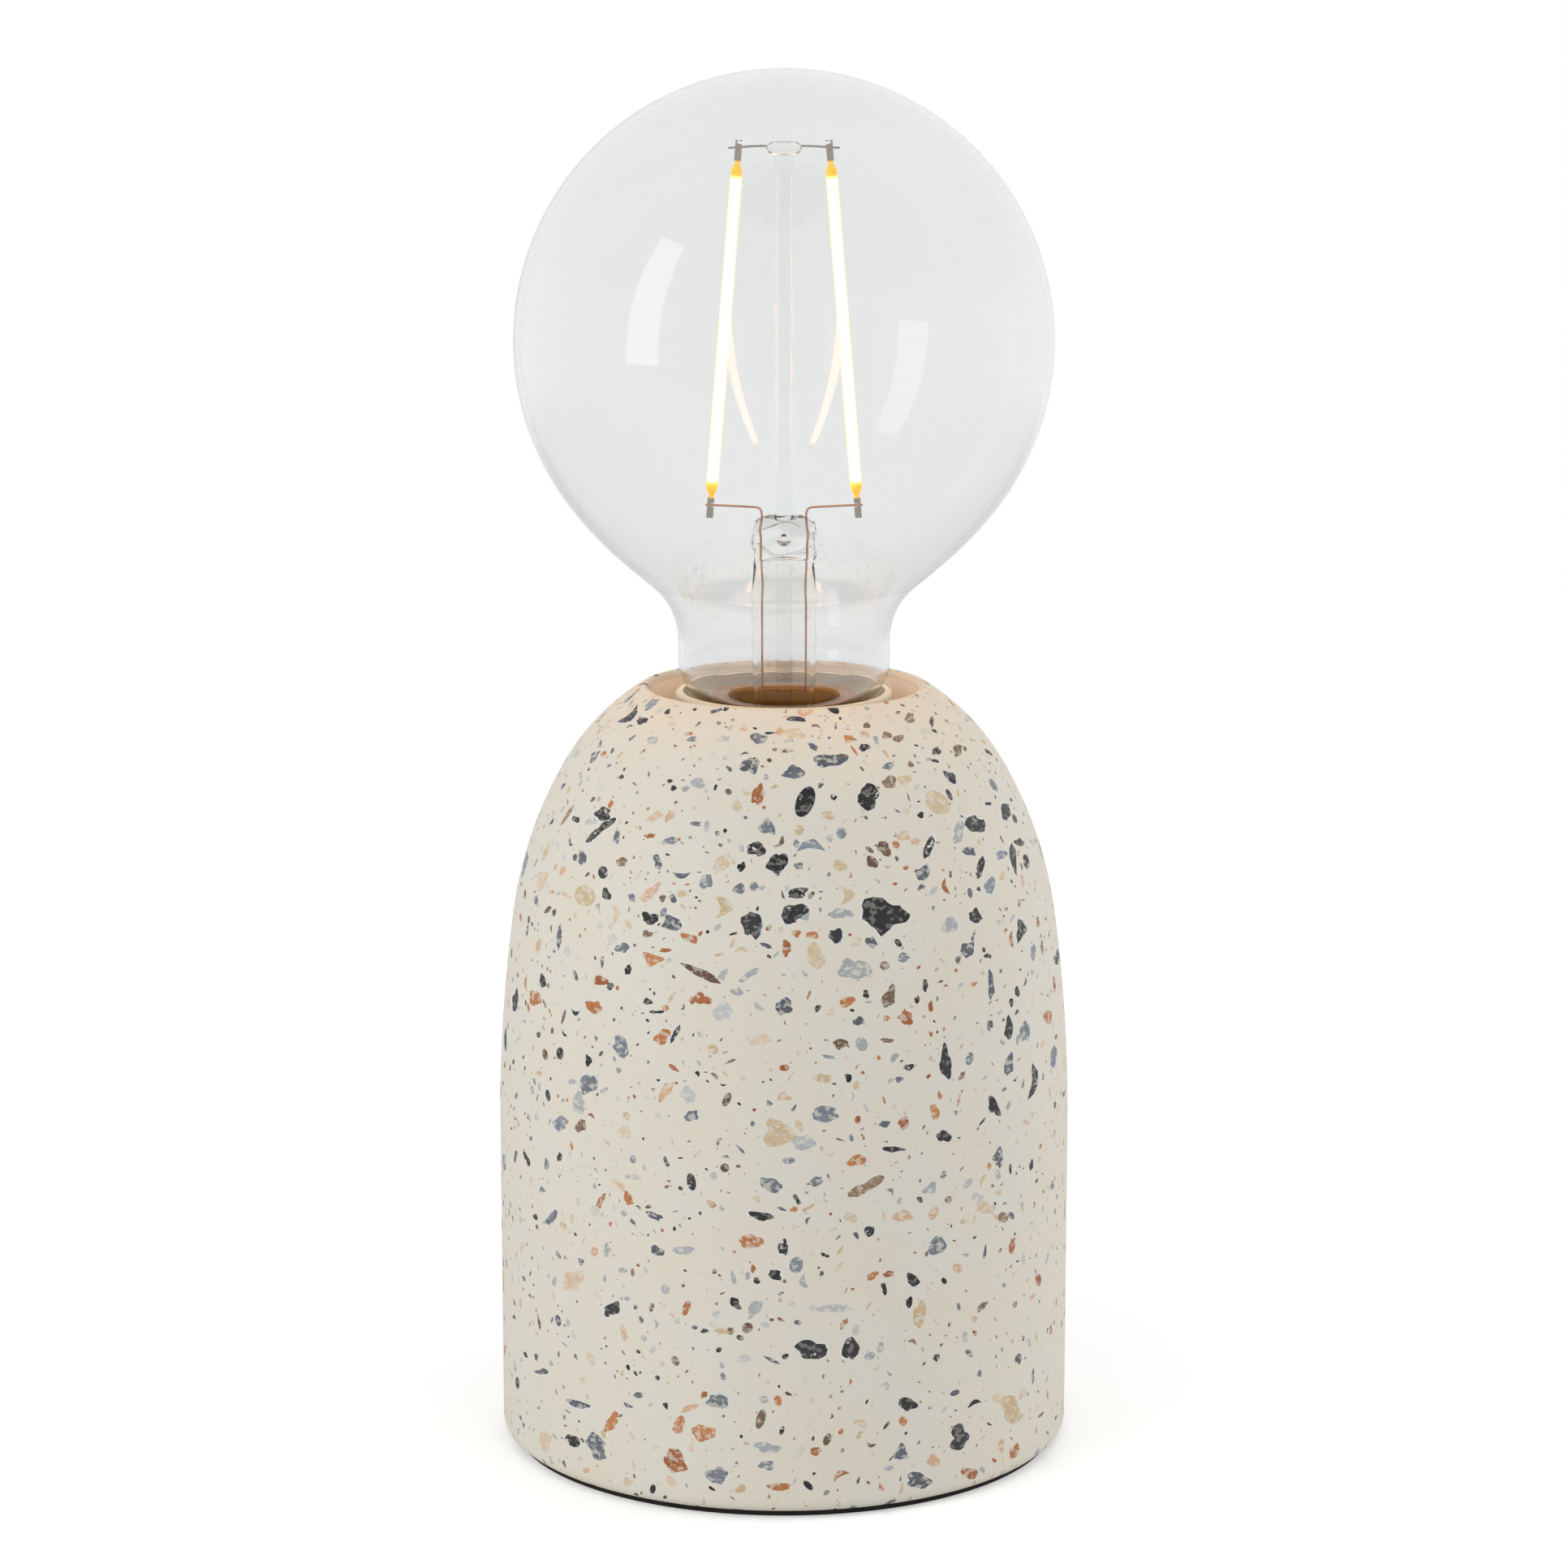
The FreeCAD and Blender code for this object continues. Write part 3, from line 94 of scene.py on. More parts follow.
class Signal:
    """A value in a material's nodes, which can stand in a sum with numbers and other values."""

    def __init__(self, graph: "Graph", socket: bpy.types.NodeSocket) -> None:
        """Keeps the socket and the graph it belongs to."""
        self.graph = graph
        self.socket = socket

    def __add__(self, other: "Number") -> "Signal":
        """The sum."""
        return self.graph.maths("ADD", self, other)

    def __radd__(self, other: "Number") -> "Signal":
        """The sum."""
        return self.graph.maths("ADD", other, self)

    def __sub__(self, other: "Number") -> "Signal":
        """The difference."""
        return self.graph.maths("SUBTRACT", self, other)

    def __rsub__(self, other: "Number") -> "Signal":
        """The difference, taken from the other value."""
        return self.graph.maths("SUBTRACT", other, self)

    def __mul__(self, other: "Number") -> "Signal":
        """The product."""
        return self.graph.maths("MULTIPLY", self, other)

    def __rmul__(self, other: "Number") -> "Signal":
        """The product."""
        return self.graph.maths("MULTIPLY", other, self)

    def __truediv__(self, other: "Number") -> "Signal":
        """The ratio."""
        return self.graph.maths("DIVIDE", self, other)

    def __gt__(self, other: "Number") -> "Signal":
        """One where this value is the larger, and zero elsewhere."""
        return self.graph.maths("GREATER_THAN", self, other)

    def __lt__(self, other: "Number") -> "Signal":
        """One where this value is the smaller, and zero elsewhere."""
        return self.graph.maths("LESS_THAN", self, other)

    def larger(self, other: "Number") -> "Signal":
        """The larger of the two."""
        return self.graph.maths("MAXIMUM", self, other)

    def between(self, low: float, high: float) -> "Signal":
        """Rises smoothly from zero at the low value to one at the high value."""
        node = self.graph.add(
            "ShaderNodeMapRange",
            {"interpolation_type": "SMOOTHSTEP"},
            {"Value": self, "From Min": low, "From Max": high},
        )
        return self.graph.out(node)


Number = Union[float, Signal]
Tint = Union[Colour, Signal]


class Graph:
    """The nodes of one material, or of the light all round."""

    def __init__(self, owner: bpy.types.Material | bpy.types.World) -> None:
        """Starts with no nodes."""
        self.owner = owner
        owner.use_nodes = True
        self.tree = owner.node_tree
        self.tree.nodes.clear()

    def add(
        self,
        kind: str,
        settings: Mapping[str, object] | None = None,
        sockets: Mapping[str | int, object] | None = None,
    ) -> bpy.types.Node:
        """Adds a node.

        Args:
            kind: The node's type.
            settings: Its settings, set first. Stops are a ramp's places and colours.
            sockets: Values or links of its sockets, by name or place.

        Returns:
            The new node.
        """
        node = self.tree.nodes.new(kind)
        for name, setting in (settings or {}).items():
            if name == "stops":
                self.set_stops(node.color_ramp, setting)
            else:
                setattr(node, name, setting)
        for name, value in (sockets or {}).items():
            if isinstance(value, Signal):
                self.tree.links.new(value.socket, node.inputs[name])
            else:
                node.inputs[name].default_value = value
        return node

    @staticmethod
    def set_stops(ramp: bpy.types.ColorRamp, stops: Sequence[tuple[float, Colour]]) -> None:
        """Gives a ramp its stops.

        Args:
            ramp: The ramp, which starts with two stops.
            stops: Places from 0 to 1, and the colour at each.
        """
        while len(ramp.elements) < len(stops):
            ramp.elements.new(1.0)
        for element, (place, colour) in zip(ramp.elements, stops):
            element.position = place
            element.color = linear(colour)

    def out(self, node: bpy.types.Node, name: str | int = 0) -> Signal:
        """The named output of a node."""
        return Signal(self, node.outputs[name])

    def maths(self, operation: str, first: Number, second: Number) -> Signal:
        """Adds a Math node.

        Args:
            operation: What it does.
            first: Its first value.
            second: Its second value.

        Returns:
            The result.
        """
        node = self.add("ShaderNodeMath", {"operation": operation}, {0: first, 1: second})
        return self.out(node)

    def place(self) -> Signal:
        """The point on the piece, in metres, in the lamp's own frame."""
        return self.out(self.add("ShaderNodeTexCoord"), "Object")

    def grain(self, size: float, detail: float = 2.0, stretch: Colour = (1, 1, 1)) -> Signal:
        """Smooth random mottling.

        Args:
            size: The size of one patch.
            detail: How many finer layers it has.
            stretch: How much shorter the patches are along X, Y and Z.

        Returns:
            A value around one half.
        """
        moved = self.add(
            "ShaderNodeVectorMath", {"operation": "MULTIPLY"}, {0: self.place(), 1: stretch}
        )
        node = self.add(
            "ShaderNodeTexNoise",
            {"noise_dimensions": "3D"},
            {"Vector": self.out(moved), "Scale": 1 / (size * MM), "Detail": detail},
        )
        return self.out(node, "Fac")

    def cells(self, size: float) -> tuple[Signal, Signal]:
        """Scattered points.

        Args:
            size: How far apart the points are.

        Returns:
            The distance to the nearest point, as a share of the size, and a random value
            that is the same all round that point.
        """
        node = self.add(
            "ShaderNodeTexVoronoi", {"feature": "F1"},
            {"Vector": self.place(), "Scale": 1 / (size * MM)},
        )
        chance = self.add("ShaderNodeSeparateColor", {}, {0: self.out(node, "Color")})
        return self.out(node, "Distance"), self.out(chance, 0)

    def tone(self, name: str) -> Signal:
        """The value that the mesh holds under that name."""
        node = self.add("ShaderNodeAttribute", {"attribute_name": name})
        return self.out(node, "Fac")

    def blend(self, share: Number, first: Tint, second: Tint) -> Signal:
        """Goes from one colour to the other.

        Args:
            share: How much of the second colour there is.
            first: A colour or a link.
            second: A colour or a link.

        Returns:
            The mixed colour.
        """
        pair = [c if isinstance(c, Signal) else linear(c) for c in (first, second)]
        node = self.add(
            "ShaderNodeMix", {"data_type": "RGBA"}, {0: share, 6: pair[0], 7: pair[1]}
        )
        return self.out(node, 2)

    def bump(self, height: Signal, depth: float) -> Signal:
        """A surface that rises with the height, by the depth at a height of one."""
        node = self.add("ShaderNodeBump", {}, {"Height": height, "Distance": depth * MM})
        return self.out(node)

    def shade(self, **sockets: object) -> Signal:
        """A Principled surface. A socket's name has underscores for its spaces."""
        named = {name.replace("_", " "): value for name, value in sockets.items()}
        return self.out(self.add("ShaderNodeBsdfPrincipled", {}, named))

    def emission(self, level: Number) -> Signal:
        """Plain white light of that level."""
        return self.out(self.add("ShaderNodeEmission", {}, {"Strength": level}))

    def mix(self, share: Signal, first: Signal, second: Signal) -> Signal:
        """Goes from one surface to the other."""
        return self.out(self.add("ShaderNodeMixShader", {}, {0: share, 1: first, 2: second}))

    def seen(self) -> Signal:
        """One where the camera, a glossy surface or glass looks, and zero where light falls."""
        path = self.add("ShaderNodeLightPath")
        shown = self.out(path, "Is Camera Ray").larger(self.out(path, "Is Transmission Ray"))
        return shown.larger(self.out(path, "Is Glossy Ray"))

    def finish(self, surface: Signal) -> bpy.types.Material:
        """Ends the graph with that surface."""
        self.add("ShaderNodeOutputMaterial", {}, {"Surface": surface})
        return self.owner


# Finishes


@dataclass(frozen=True)
class Finish:
    """What a surface is made of. Each kind of finish draws its own nodes."""

    name: str
    colour: Colour
    made: ClassVar[dict[str, bpy.types.Material]] = {}

    def draw(self, graph: Graph) -> Signal:
        """The surface, as nodes of the graph."""
        raise NotImplementedError

    def material(self) -> bpy.types.Material:
        """The finish's material, made once."""
        if self.name not in self.made:
            graph = Graph(bpy.data.materials.new(self.name))
            self.made[self.name] = graph.finish(self.draw(graph))
        return self.made[self.name]


@dataclass(frozen=True)
class Cement(Finish):
    """The cast cream ground between the chips, with sand in it and pinholes, whose dark pits are
    painted shade.
    """

    warm: Colour = (222, 214, 197)
    sand: Colour = (150, 128, 98)
    # The painted shade in the pinholes' pits.
    pinhole_shade: Colour = (120, 108, 92)
    rough: float = 0.62
    cloud_size: float = 14.0
    sand_apart: float = 1.15
    sand_size: float = 0.085
    pinholes_apart: float = 2.1
    pinhole_size: float = 0.06
    fine_size: float = 0.9
    swell_size: float = 4.0
    cloud_share: float = 0.55
    fine_share: float = 0.25
    sand_share: float = 0.55
    sand_missing: float = 0.5
    pinholes_missing: float = 0.45
    cloud_ends: Ends = (0.35, 0.7)
    fine_rough: float = 0.12
    relief: float = 0.05

    def draw(self, graph: Graph) -> Signal:
        """Cloudy cream with fine dark sand, and open pinholes darkened with painted shade."""
        cloud = graph.grain(self.cloud_size, 3.0).between(*self.cloud_ends)
        fine = graph.grain(self.fine_size, 4.0)
        clouded = cloud * self.cloud_share + fine * self.fine_share
        colour = graph.blend(clouded, self.colour, self.warm)
        grit_far, grit_pick = graph.cells(self.sand_apart)
        grit = (grit_far < self.sand_size) * (grit_pick > self.sand_missing)
        colour = graph.blend(grit * self.sand_share, colour, self.sand)
        hole_far, hole_pick = graph.cells(self.pinholes_apart)
        hole = (hole_far < self.pinhole_size) * (hole_pick > self.pinholes_missing)
        # The pinholes' dark colour is painted shade in their open pits, over the dip that the bump
        # gives them.
        colour = graph.blend(hole, colour, self.pinhole_shade)
        height = fine * self.fine_share + graph.grain(self.swell_size, 2.0) - hole
        return graph.shade(
            Base_Color=colour,
            Roughness=self.rough + fine * self.fine_rough,
            Normal=graph.bump(height, self.relief),
        )


@dataclass(frozen=True)
class Chip(Finish):
    """A kind of stone chip. Each chip of the kind has a tone of its own."""

    pale: Colour = (200, 200, 200)
    vein: Colour = (240, 238, 232)
    veins: float = 0.3
    haze: float = 0.0
    film: float = 0.5
    rough: float = 0.5
    film_colour: ClassVar[Colour] = (216, 211, 198)
    cloud_size: ClassVar[float] = 1.1
    smear_size: ClassVar[float] = 1.2
    scuff_size: ClassVar[float] = 0.55
    wear_size: ClassVar[float] = 3.4
    thread_size: ClassVar[float] = 1.6
    scuff_ends: ClassVar[Ends] = (0.54, 0.66)
    wear_ends: ClassVar[Ends] = (0.56, 0.64)
    thread_ends: ClassVar[Ends] = (0.58, 0.66)
    smear_ends: ClassVar[Ends] = (0.535, 0.575)
    tone_swing: ClassVar[float] = 0.75
    cloud_swing: ClassVar[float] = 0.9
    worn_rough: ClassVar[float] = 0.25
    relief: ClassVar[float] = 0.02

    def draw(self, graph: Graph) -> Signal:
        """Stone from dark to pale by its tone, clouded, worn and smeared with cement."""
        cloud = graph.grain(self.cloud_size, 4.0)
        shift = graph.tone("tone") * self.tone_swing + (cloud - 0.5) * self.cloud_swing
        colour = graph.blend(shift.between(0.0, 1.0), self.colour, self.pale)
        scuffs = graph.grain(self.scuff_size, 3.0).between(*self.scuff_ends)
        worn = scuffs * graph.grain(self.wear_size, 1.0).between(*self.wear_ends)
        colour = graph.blend(worn * self.haze, colour, self.vein)
        thread = graph.grain(self.thread_size, 5.0, (1, 1, 2.4)).between(*self.thread_ends)
        colour = graph.blend(thread * self.veins, colour, self.vein)
        smear = graph.grain(self.smear_size, 4.0, (1, 1, 1.4)).between(*self.smear_ends)
        colour = graph.blend(smear * self.film, colour, self.film_colour)
        return graph.shade(
            Base_Color=colour,
            Roughness=self.rough + worn * self.worn_rough,
            Normal=graph.bump(cloud, self.relief),
        )


@dataclass(frozen=True)
class Glass(Finish):
    """Blown glass, which lets the lamps through to what stands behind it."""

    ior: float = 1.5
    rough: float = 0.0
    lets_through: float = 0.92
    wave_length: float = 30.0
    wave_depth: float = 0.03

    def draw(self, graph: Graph) -> Signal:
        """Clear glass with the faintest waves of blowing in its skin."""
        waves = graph.grain(self.wave_length, 0.0, (1, 1, 0.4))
        clear = graph.shade(
            Base_Color=linear(self.colour),
            Roughness=self.rough,
            IOR=self.ior,
            Transmission_Weight=1.0,
            Normal=graph.bump(waves, self.wave_depth),
        )
        through = graph.out(
            graph.add("ShaderNodeBsdfTransparent", {}, {"Color": (self.lets_through,) * 3 + (1,)})
        )
        shadow = graph.out(graph.add("ShaderNodeLightPath"), "Is Shadow Ray")
        return graph.mix(shadow, clear, through)


@dataclass(frozen=True)
class Glow(Finish):
    """A part of a lit filament, bright along its length and only orange at its two ends."""

    ember: Colour = (255, 184, 24)
    pale_ember: Colour = (255, 200, 70)
    dark: Colour = (160, 104, 0)
    strength: float = 2.0
    cover: float = 1.0
    end_share: float = 0.04
    end_from: float = 0.9
    end_to: float = 1.5
    speckle_size: float = 0.5
    speckle_share: float = 0.4
    rough: float = 0.35
    speckle_rough: float = 0.2
    relief: float = 0.04

    def draw(self, graph: Graph) -> Signal:
        """Light by the place along the filament, with the coat's own speckle."""
        along = graph.tone("along")
        speckle = graph.grain(self.speckle_size, 3.0)
        rise = (self.end_share * self.end_from, self.end_share * self.end_to)
        lit = along.between(*rise) * (1 - along).between(*rise)
        return graph.shade(
            Base_Color=graph.blend(speckle * self.speckle_share, self.ember, self.pale_ember),
            Roughness=self.rough + speckle * self.speckle_rough,
            Emission_Color=graph.blend(lit, self.dark, self.colour),
            Emission_Strength=self.strength,
            Alpha=1 - lit * (1 - self.cover),
            Normal=graph.bump(speckle, self.relief),
        )


@dataclass(frozen=True)
class Metal(Finish):
    """Bare or plated metal with fine tool marks and stains."""

    stain: Colour = (120, 110, 95)
    rough: float = 0.3
    marks: Colour = (1, 1, 6)
    mark_size: float = 0.6
    patch_size: float = 5.0
    patch_ends: Ends = (0.52, 0.75)
    stain_share: float = 0.4
    mark_rough: float = 0.18
    patch_rough: float = 0.12
    relief: float = 0.01

    def draw(self, graph: Graph) -> Signal:
        """Metal with fine marks across it and a few duller patches."""
        brushed = graph.grain(self.mark_size, 3.0, self.marks)
        patch = graph.grain(self.patch_size, 3.0).between(*self.patch_ends)
        return graph.shade(
            Base_Color=graph.blend(patch * self.stain_share, self.colour, self.stain),
            Metallic=1.0,
            Roughness=self.rough + brushed * self.mark_rough + patch * self.patch_rough,
            Normal=graph.bump(brushed, self.relief),
        )


@dataclass(frozen=True)
class Coat(Finish):
    """A paint, plastic, rubber, resin or fired clay: one colour, finely grained."""

    deep: Colour = (0, 0, 0)
    rough: float = 0.5
    patch: float = 6.0
    grain_size: float = 0.35
    cloud_ends: Ends = (0.4, 0.75)
    cloud_share: float = 0.35
    fine_share: float = 0.1
    fine_rough: float = 0.14
    relief: float = 0.015

    def draw(self, graph: Graph) -> Signal:
        """A slightly uneven colour with a moulded or sprayed grain."""
        fine = graph.grain(self.grain_size, 3.0)
        cloud = graph.grain(self.patch, 3.0).between(*self.cloud_ends)
        clouded = cloud * self.cloud_share + fine * self.fine_share
        return graph.shade(
            Base_Color=graph.blend(clouded, self.colour, self.deep),
            Roughness=self.rough + fine * self.fine_rough,
            Normal=graph.bump(fine, self.relief),
        )


CREAM = Cement("cast_cream", (219, 216, 205))
# The unground cast skin inside the well and the hollow: rougher than the ground cream, and painted
# paler and warmer than it as painted light from the lit bulb.
PAINTED_LIGHT_CAST_SKIN = Cement("cast_skin", (248, 243, 231), warm=(250, 239, 220), rough=0.75)
HOLDER_PAINT = Coat("cream_enamel", (213, 210, 192), deep=(194, 186, 163), rough=0.38)
FOOT_RUBBER = Coat(
    "sole_rubber", (26, 25, 26), (52, 44, 40), rough=0.8, patch=3.0, grain_size=0.6, relief=0.08
)
BLACK_STEEL = Coat("blackened_plate", (30, 30, 32), deep=(46, 46, 48), rough=0.45)
BLACK_NYLON = Coat("inlet_nylon", (24, 24, 26), deep=(40, 40, 42), rough=0.4)
PORCELAIN = Coat("glazed_core", (238, 236, 230), deep=(214, 208, 196), rough=0.25)
RESIN = Coat(
    "cap_resin", (176, 124, 34), deep=(92, 58, 10), rough=0.28, patch=2.6, grain_size=0.9
)
BLACK_GLASS = Coat(
    "dark_glass", (16, 14, 20), deep=(34, 28, 40), rough=0.12, patch=3.0, grain_size=0.8
)
BOARD = Coat("green_board", (36, 88, 48), deep=(20, 60, 34), rough=0.35, patch=3.0)
BLACK_MOULDING = Coat("moulded_parts", (28, 28, 30), deep=(44, 44, 46), rough=0.5)
BROWN_SLEEVE = Coat("brown_sleeve", (98, 58, 34), deep=(74, 42, 24), rough=0.45)
BLUE_SLEEVE = Coat("blue_sleeve", (48, 92, 160), deep=(34, 70, 130), rough=0.45)
WHITE_NYLON = Coat("white_nylon", (232, 232, 226), deep=(210, 208, 198), rough=0.4)
ZINC = Metal("zinc_plate", (196, 198, 202), stain=(150, 152, 156), rough=0.28)
BRASS = Metal("rolled_brass", (214, 176, 98), stain=(150, 112, 52), rough=0.26)
BRONZE = Metal("spring_bronze", (206, 152, 104), stain=(140, 92, 56), rough=0.26)
NICKEL = Metal("cap_plating", (206, 200, 186), stain=(150, 140, 120), rough=0.2)
SOLDER = Metal("tip_solder", (190, 190, 188), stain=(140, 140, 138), rough=0.35, marks=(1, 1, 1))
WIRE = Metal("bright_wire", (172, 160, 146), stain=(120, 96, 74))
COPPER = Metal("copper_wire", (206, 148, 112), stain=(150, 96, 66))
CLEAR_GLASS = Glass("blown_glass", (243, 244, 244))
ROD_GLASS = Glass("drawn_glass", (250, 252, 250), ior=1.52, lets_through=1.0)
STEM_GLASS = Glass("pressed_glass", (255, 255, 254), ior=1.42, lets_through=1.0)
FILAMENT_CORE = Glow("lit_core", (255, 238, 208), strength=4.5)
FILAMENT_COAT = Glow("amber_coat", (255, 190, 100), cover=0.4)


class Stone(Enum):
    """The kinds of stone chip, in the order of the dome's materials."""

    BLACK = Chip("chip_black", (26, 26, 28), (56, 57, 60), haze=0.9, veins=0.04, film=0.2)
    SLATE = Chip("chip_slate", (84, 89, 98), (142, 148, 158), haze=0.5, veins=0.2, film=0.6)
    GREY = Chip("chip_grey", (160, 165, 168), (198, 199, 196), haze=0.15, veins=0.3, film=0.75)
    RUST = Chip("chip_rust", (152, 84, 42), (200, 134, 80), haze=0.25, veins=0.15, film=0.6)
    BROWN = Chip("chip_brown", (96, 72, 56), (156, 132, 104), haze=0.25, veins=0.2, film=0.45)
    TAN = Chip("chip_tan", (198, 174, 136), (216, 200, 172), haze=0.1, veins=0.4, film=0.75)
    BLUSH = Chip("chip_blush", (206, 170, 138), (220, 200, 176), haze=0.1, veins=0.3, film=0.75)
    PALE = Chip("chip_pale", (198, 198, 191), (218, 215, 205), haze=0.1, veins=0.4, film=0.7)
    FROST = Chip("chip_frost", (208, 212, 217), (228, 229, 227), haze=0.1, veins=0.5)


# Mesh making


@dataclass(frozen=True)
class Step:
    """A point of a half-section, with the way its skin faces there."""

    radius: float
    height: float
    out_radius: float
    out_height: float


class Outline:
    """The half-section of a turned piece, drawn so that the piece lies left of its way."""

    def __init__(self, radius: float, height: float) -> None:
        """Starts at a radius and a height."""
        self.at = (radius, height)
        self.runs: list[list[Step]] = []

    def line(self, radius: float, height: float, step: float = 6.0) -> "Outline":
        """Draws a straight run.

        Args:
            radius: Radius at its end.
            height: Height at its end.
            step: The longest stretch without a point.

        Returns:
            The outline.
        """
        across, up = radius - self.at[0], height - self.at[1]
        length = math.hypot(across, up)
        count = max(1, math.ceil(length / step))
        facing = (up / length, -across / length)
        self.runs.append([
            Step(self.at[0] + across * i / count, self.at[1] + up * i / count, *facing)
            for i in range(count + 1)
        ])
        self.at = (radius, height)
        return self

    def arc(self, radius: float, height: float, bow: float, step: float = 3.0) -> "Outline":
        """Draws an arc.

        Args:
            radius: Radius at its end.
            height: Height at its end.
            bow: The arc's own radius, positive where it bows to the left of its way.
            step: The longest stretch without a point.

        Returns:
            The outline.
        """
        start = Vector(self.at)
        chord = Vector((radius, height)) - start
        left = Vector((-chord.y, chord.x)).normalized()
        high = math.sqrt(max(bow**2 - (chord.length / 2) ** 2, 0.0))
        centre = start + chord / 2 - left * math.copysign(high, bow)
        first = start - centre
        turn = -math.copysign(2 * math.asin(min(1.0, chord.length / 2 / abs(bow))), bow)
        count = max(3, math.ceil(abs(turn * bow) / step), math.ceil(abs(turn) / 0.16))
        steps = []
        for i in range(count + 1):
            spoke = Matrix.Rotation(turn * i / count, 2) @ first
            facing = spoke.normalized() * (-1 if bow > 0 else 1)
            steps.append(Step(centre.x + spoke.x, centre.y + spoke.y, facing.x, facing.y))
        self.runs.append(steps)
        self.at = (radius, height)
        return self

    def pairs(self) -> Iterator[tuple[Step, Step]]:
        """Neighbouring points of each run."""
        for run in self.runs:
            yield from zip(run, run[1:])


class Skin:
    """Collects faces with a way to face at each corner, and joins the corners that meet."""

    def __init__(self) -> None:
        """Starts with no faces."""
        self.numbers: dict[tuple[int, int, int], int] = {}
        self.points: list[Vector] = []
        self.faces: list[list[int]] = []
        self.facings: list[Vector] = []
        self.finishes: list[int] = []
        self.tones: list[float] = []

    def number(self, point: Vector) -> int:
        """The number of the point, which is shared with any point in the same place."""
        key = tuple(round(value / WELD) for value in point)
        if key not in self.numbers:
            self.numbers[key] = len(self.points)
            self.points.append(point)
        return self.numbers[key]

    def face(
        self,
        corners: Sequence[Vector],
        facings: Sequence[Vector],
        finish: int = 0,
        tone: float = 0.5,
    ) -> None:
        """Adds a face, unless its corners fall together.

        Args:
            corners: Its corners, anticlockwise from outside.
            facings: The way the skin faces at each corner.
            finish: The place of its material.
            tone: The tone of its chip.
        """
        numbers: list[int] = []
        kept: list[Vector] = []
        for corner, facing in zip(corners, facings):
            number = self.number(corner)
            if number not in numbers:
                numbers.append(number)
                kept.append(facing)
        if len(numbers) > 2:
            self.faces.append(numbers)
            self.facings.extend(kept)
            self.finishes.append(finish)
            self.tones.append(tone)

    def turn(
        self, outline: Outline, count: int = 96, finish: int = 0, start: float = 0.0
    ) -> "Skin":
        """Turns a half-section about the lamp's axis.

        Args:
            outline: The half-section.
            count: How many faces go round.
            finish: The place of the material.
            start: Where round the axis the faces start, in degrees.

        Returns:
            The skin.
        """
        turns = [math.radians(start + 360 * i / count) for i in range(count)]
        spokes = [(math.cos(turn), math.sin(turn)) for turn in turns]
        for low, high in outline.pairs():
            for i, spoke in enumerate(spokes):
                after = spokes[(i + 1) % count]
                order = ((low, spoke), (low, after), (high, after), (high, spoke))
                corners = [Vector((p.radius * c, p.radius * s, p.height)) for p, (c, s) in order]
                facings = [
                    Vector((p.out_radius * c, p.out_radius * s, p.out_height))
                    for p, (c, s) in order
                ]
                self.face(corners, facings, finish)
        return self

    def wall(self, rings: Sequence[Sequence[Vector]], outward: int) -> None:
        """Joins rings of points from the foot up.

        Args:
            rings: Rings that have as many points each.
            outward: One for a wall that faces out, and minus one for one that faces in.
        """
        count = len(rings[0])

        def facing(level: int, spot: int) -> Vector:
            """The way out of the wall at a point of a ring."""
            along = rings[level][(spot + 1) % count] - rings[level][spot - 1]
            above, below = rings[min(level + 1, len(rings) - 1)], rings[max(level - 1, 0)]
            return along.cross(above[spot] - below[spot]).normalized() * outward

        for low in range(len(rings) - 1):
            for i in range(count):
                j = (i + 1) % count
                places = [(low, i), (low, j), (low + 1, j), (low + 1, i)]
                if outward < 0:
                    places.reverse()
                corners = [rings[level][spot] for level, spot in places]
                self.face(corners, [facing(*place) for place in places])

    def piece(self, name: str, *finishes: Finish) -> bpy.types.Object:
        """Makes the object.

        Args:
            name: Its name.
            finishes: Its finishes, in the order that the faces number them.

        Returns:
            The new object.
        """
        mesh = bpy.data.meshes.new(name)
        mesh.from_pydata([point * MM for point in self.points], [], self.faces)
        for finish in finishes:
            mesh.materials.append(finish.material())
        mesh.polygons.foreach_set("material_index", self.finishes)
        tones = mesh.attributes.new("tone", "FLOAT", "FACE")
        tones.data.foreach_set("value", self.tones)
        mesh.shade_smooth()
        mesh.normals_split_custom_set([facing.normalized() for facing in self.facings])
        return link(bpy.data.objects.new(name, mesh))


def link(thing: bpy.types.Object) -> bpy.types.Object:
    """Puts an object in the scene."""
    bpy.context.scene.collection.objects.link(thing)
    return thing


def hide(lamp: bpy.types.Object, mirrored: bool = False) -> None:
    """Keeps a lamp out of the camera's sight, and out of glass and gloss unless mirrored."""
    lamp.visible_camera = False
    lamp.visible_glossy = lamp.visible_transmission = mirrored


def swept(
    name: str, ways: Sequence[Sequence[Vector]], radius: float, finish: Finish, smooth: bool = True
) -> bpy.types.Object:
    """Makes round wires along smooth ways.

    Args:
        name: The object's name.
        ways: Points of each wire.
        radius: The wires' radius.
        finish: What they are made of.
        smooth: Whether the wires bend smoothly at the points.

    Returns:
        The new object, a mesh.
    """
    curve = bpy.data.curves.new(name, "CURVE")
    curve.dimensions = "3D"
    curve.bevel_depth = radius * MM
    curve.bevel_resolution = 4
    curve.use_fill_caps = True
    curve.resolution_u = 6
    for points in ways:
        spline = curve.splines.new("NURBS" if smooth else "POLY")
        spline.points.add(len(points) - 1)
        for knot, point in zip(spline.points, points):
            knot.co = (*(point * MM), 1.0)
        if smooth:
            spline.order_u = 3
            spline.use_endpoint_u = True
    shell = bpy.data.objects.new(name + "_line", curve)
    mesh = bpy.data.meshes.new_from_object(shell)
    mesh.name = name
    bpy.data.objects.remove(shell)
    mesh.materials.clear()
    mesh.materials.append(finish.material())
    mesh.shade_smooth()
    return link(bpy.data.objects.new(name, mesh))


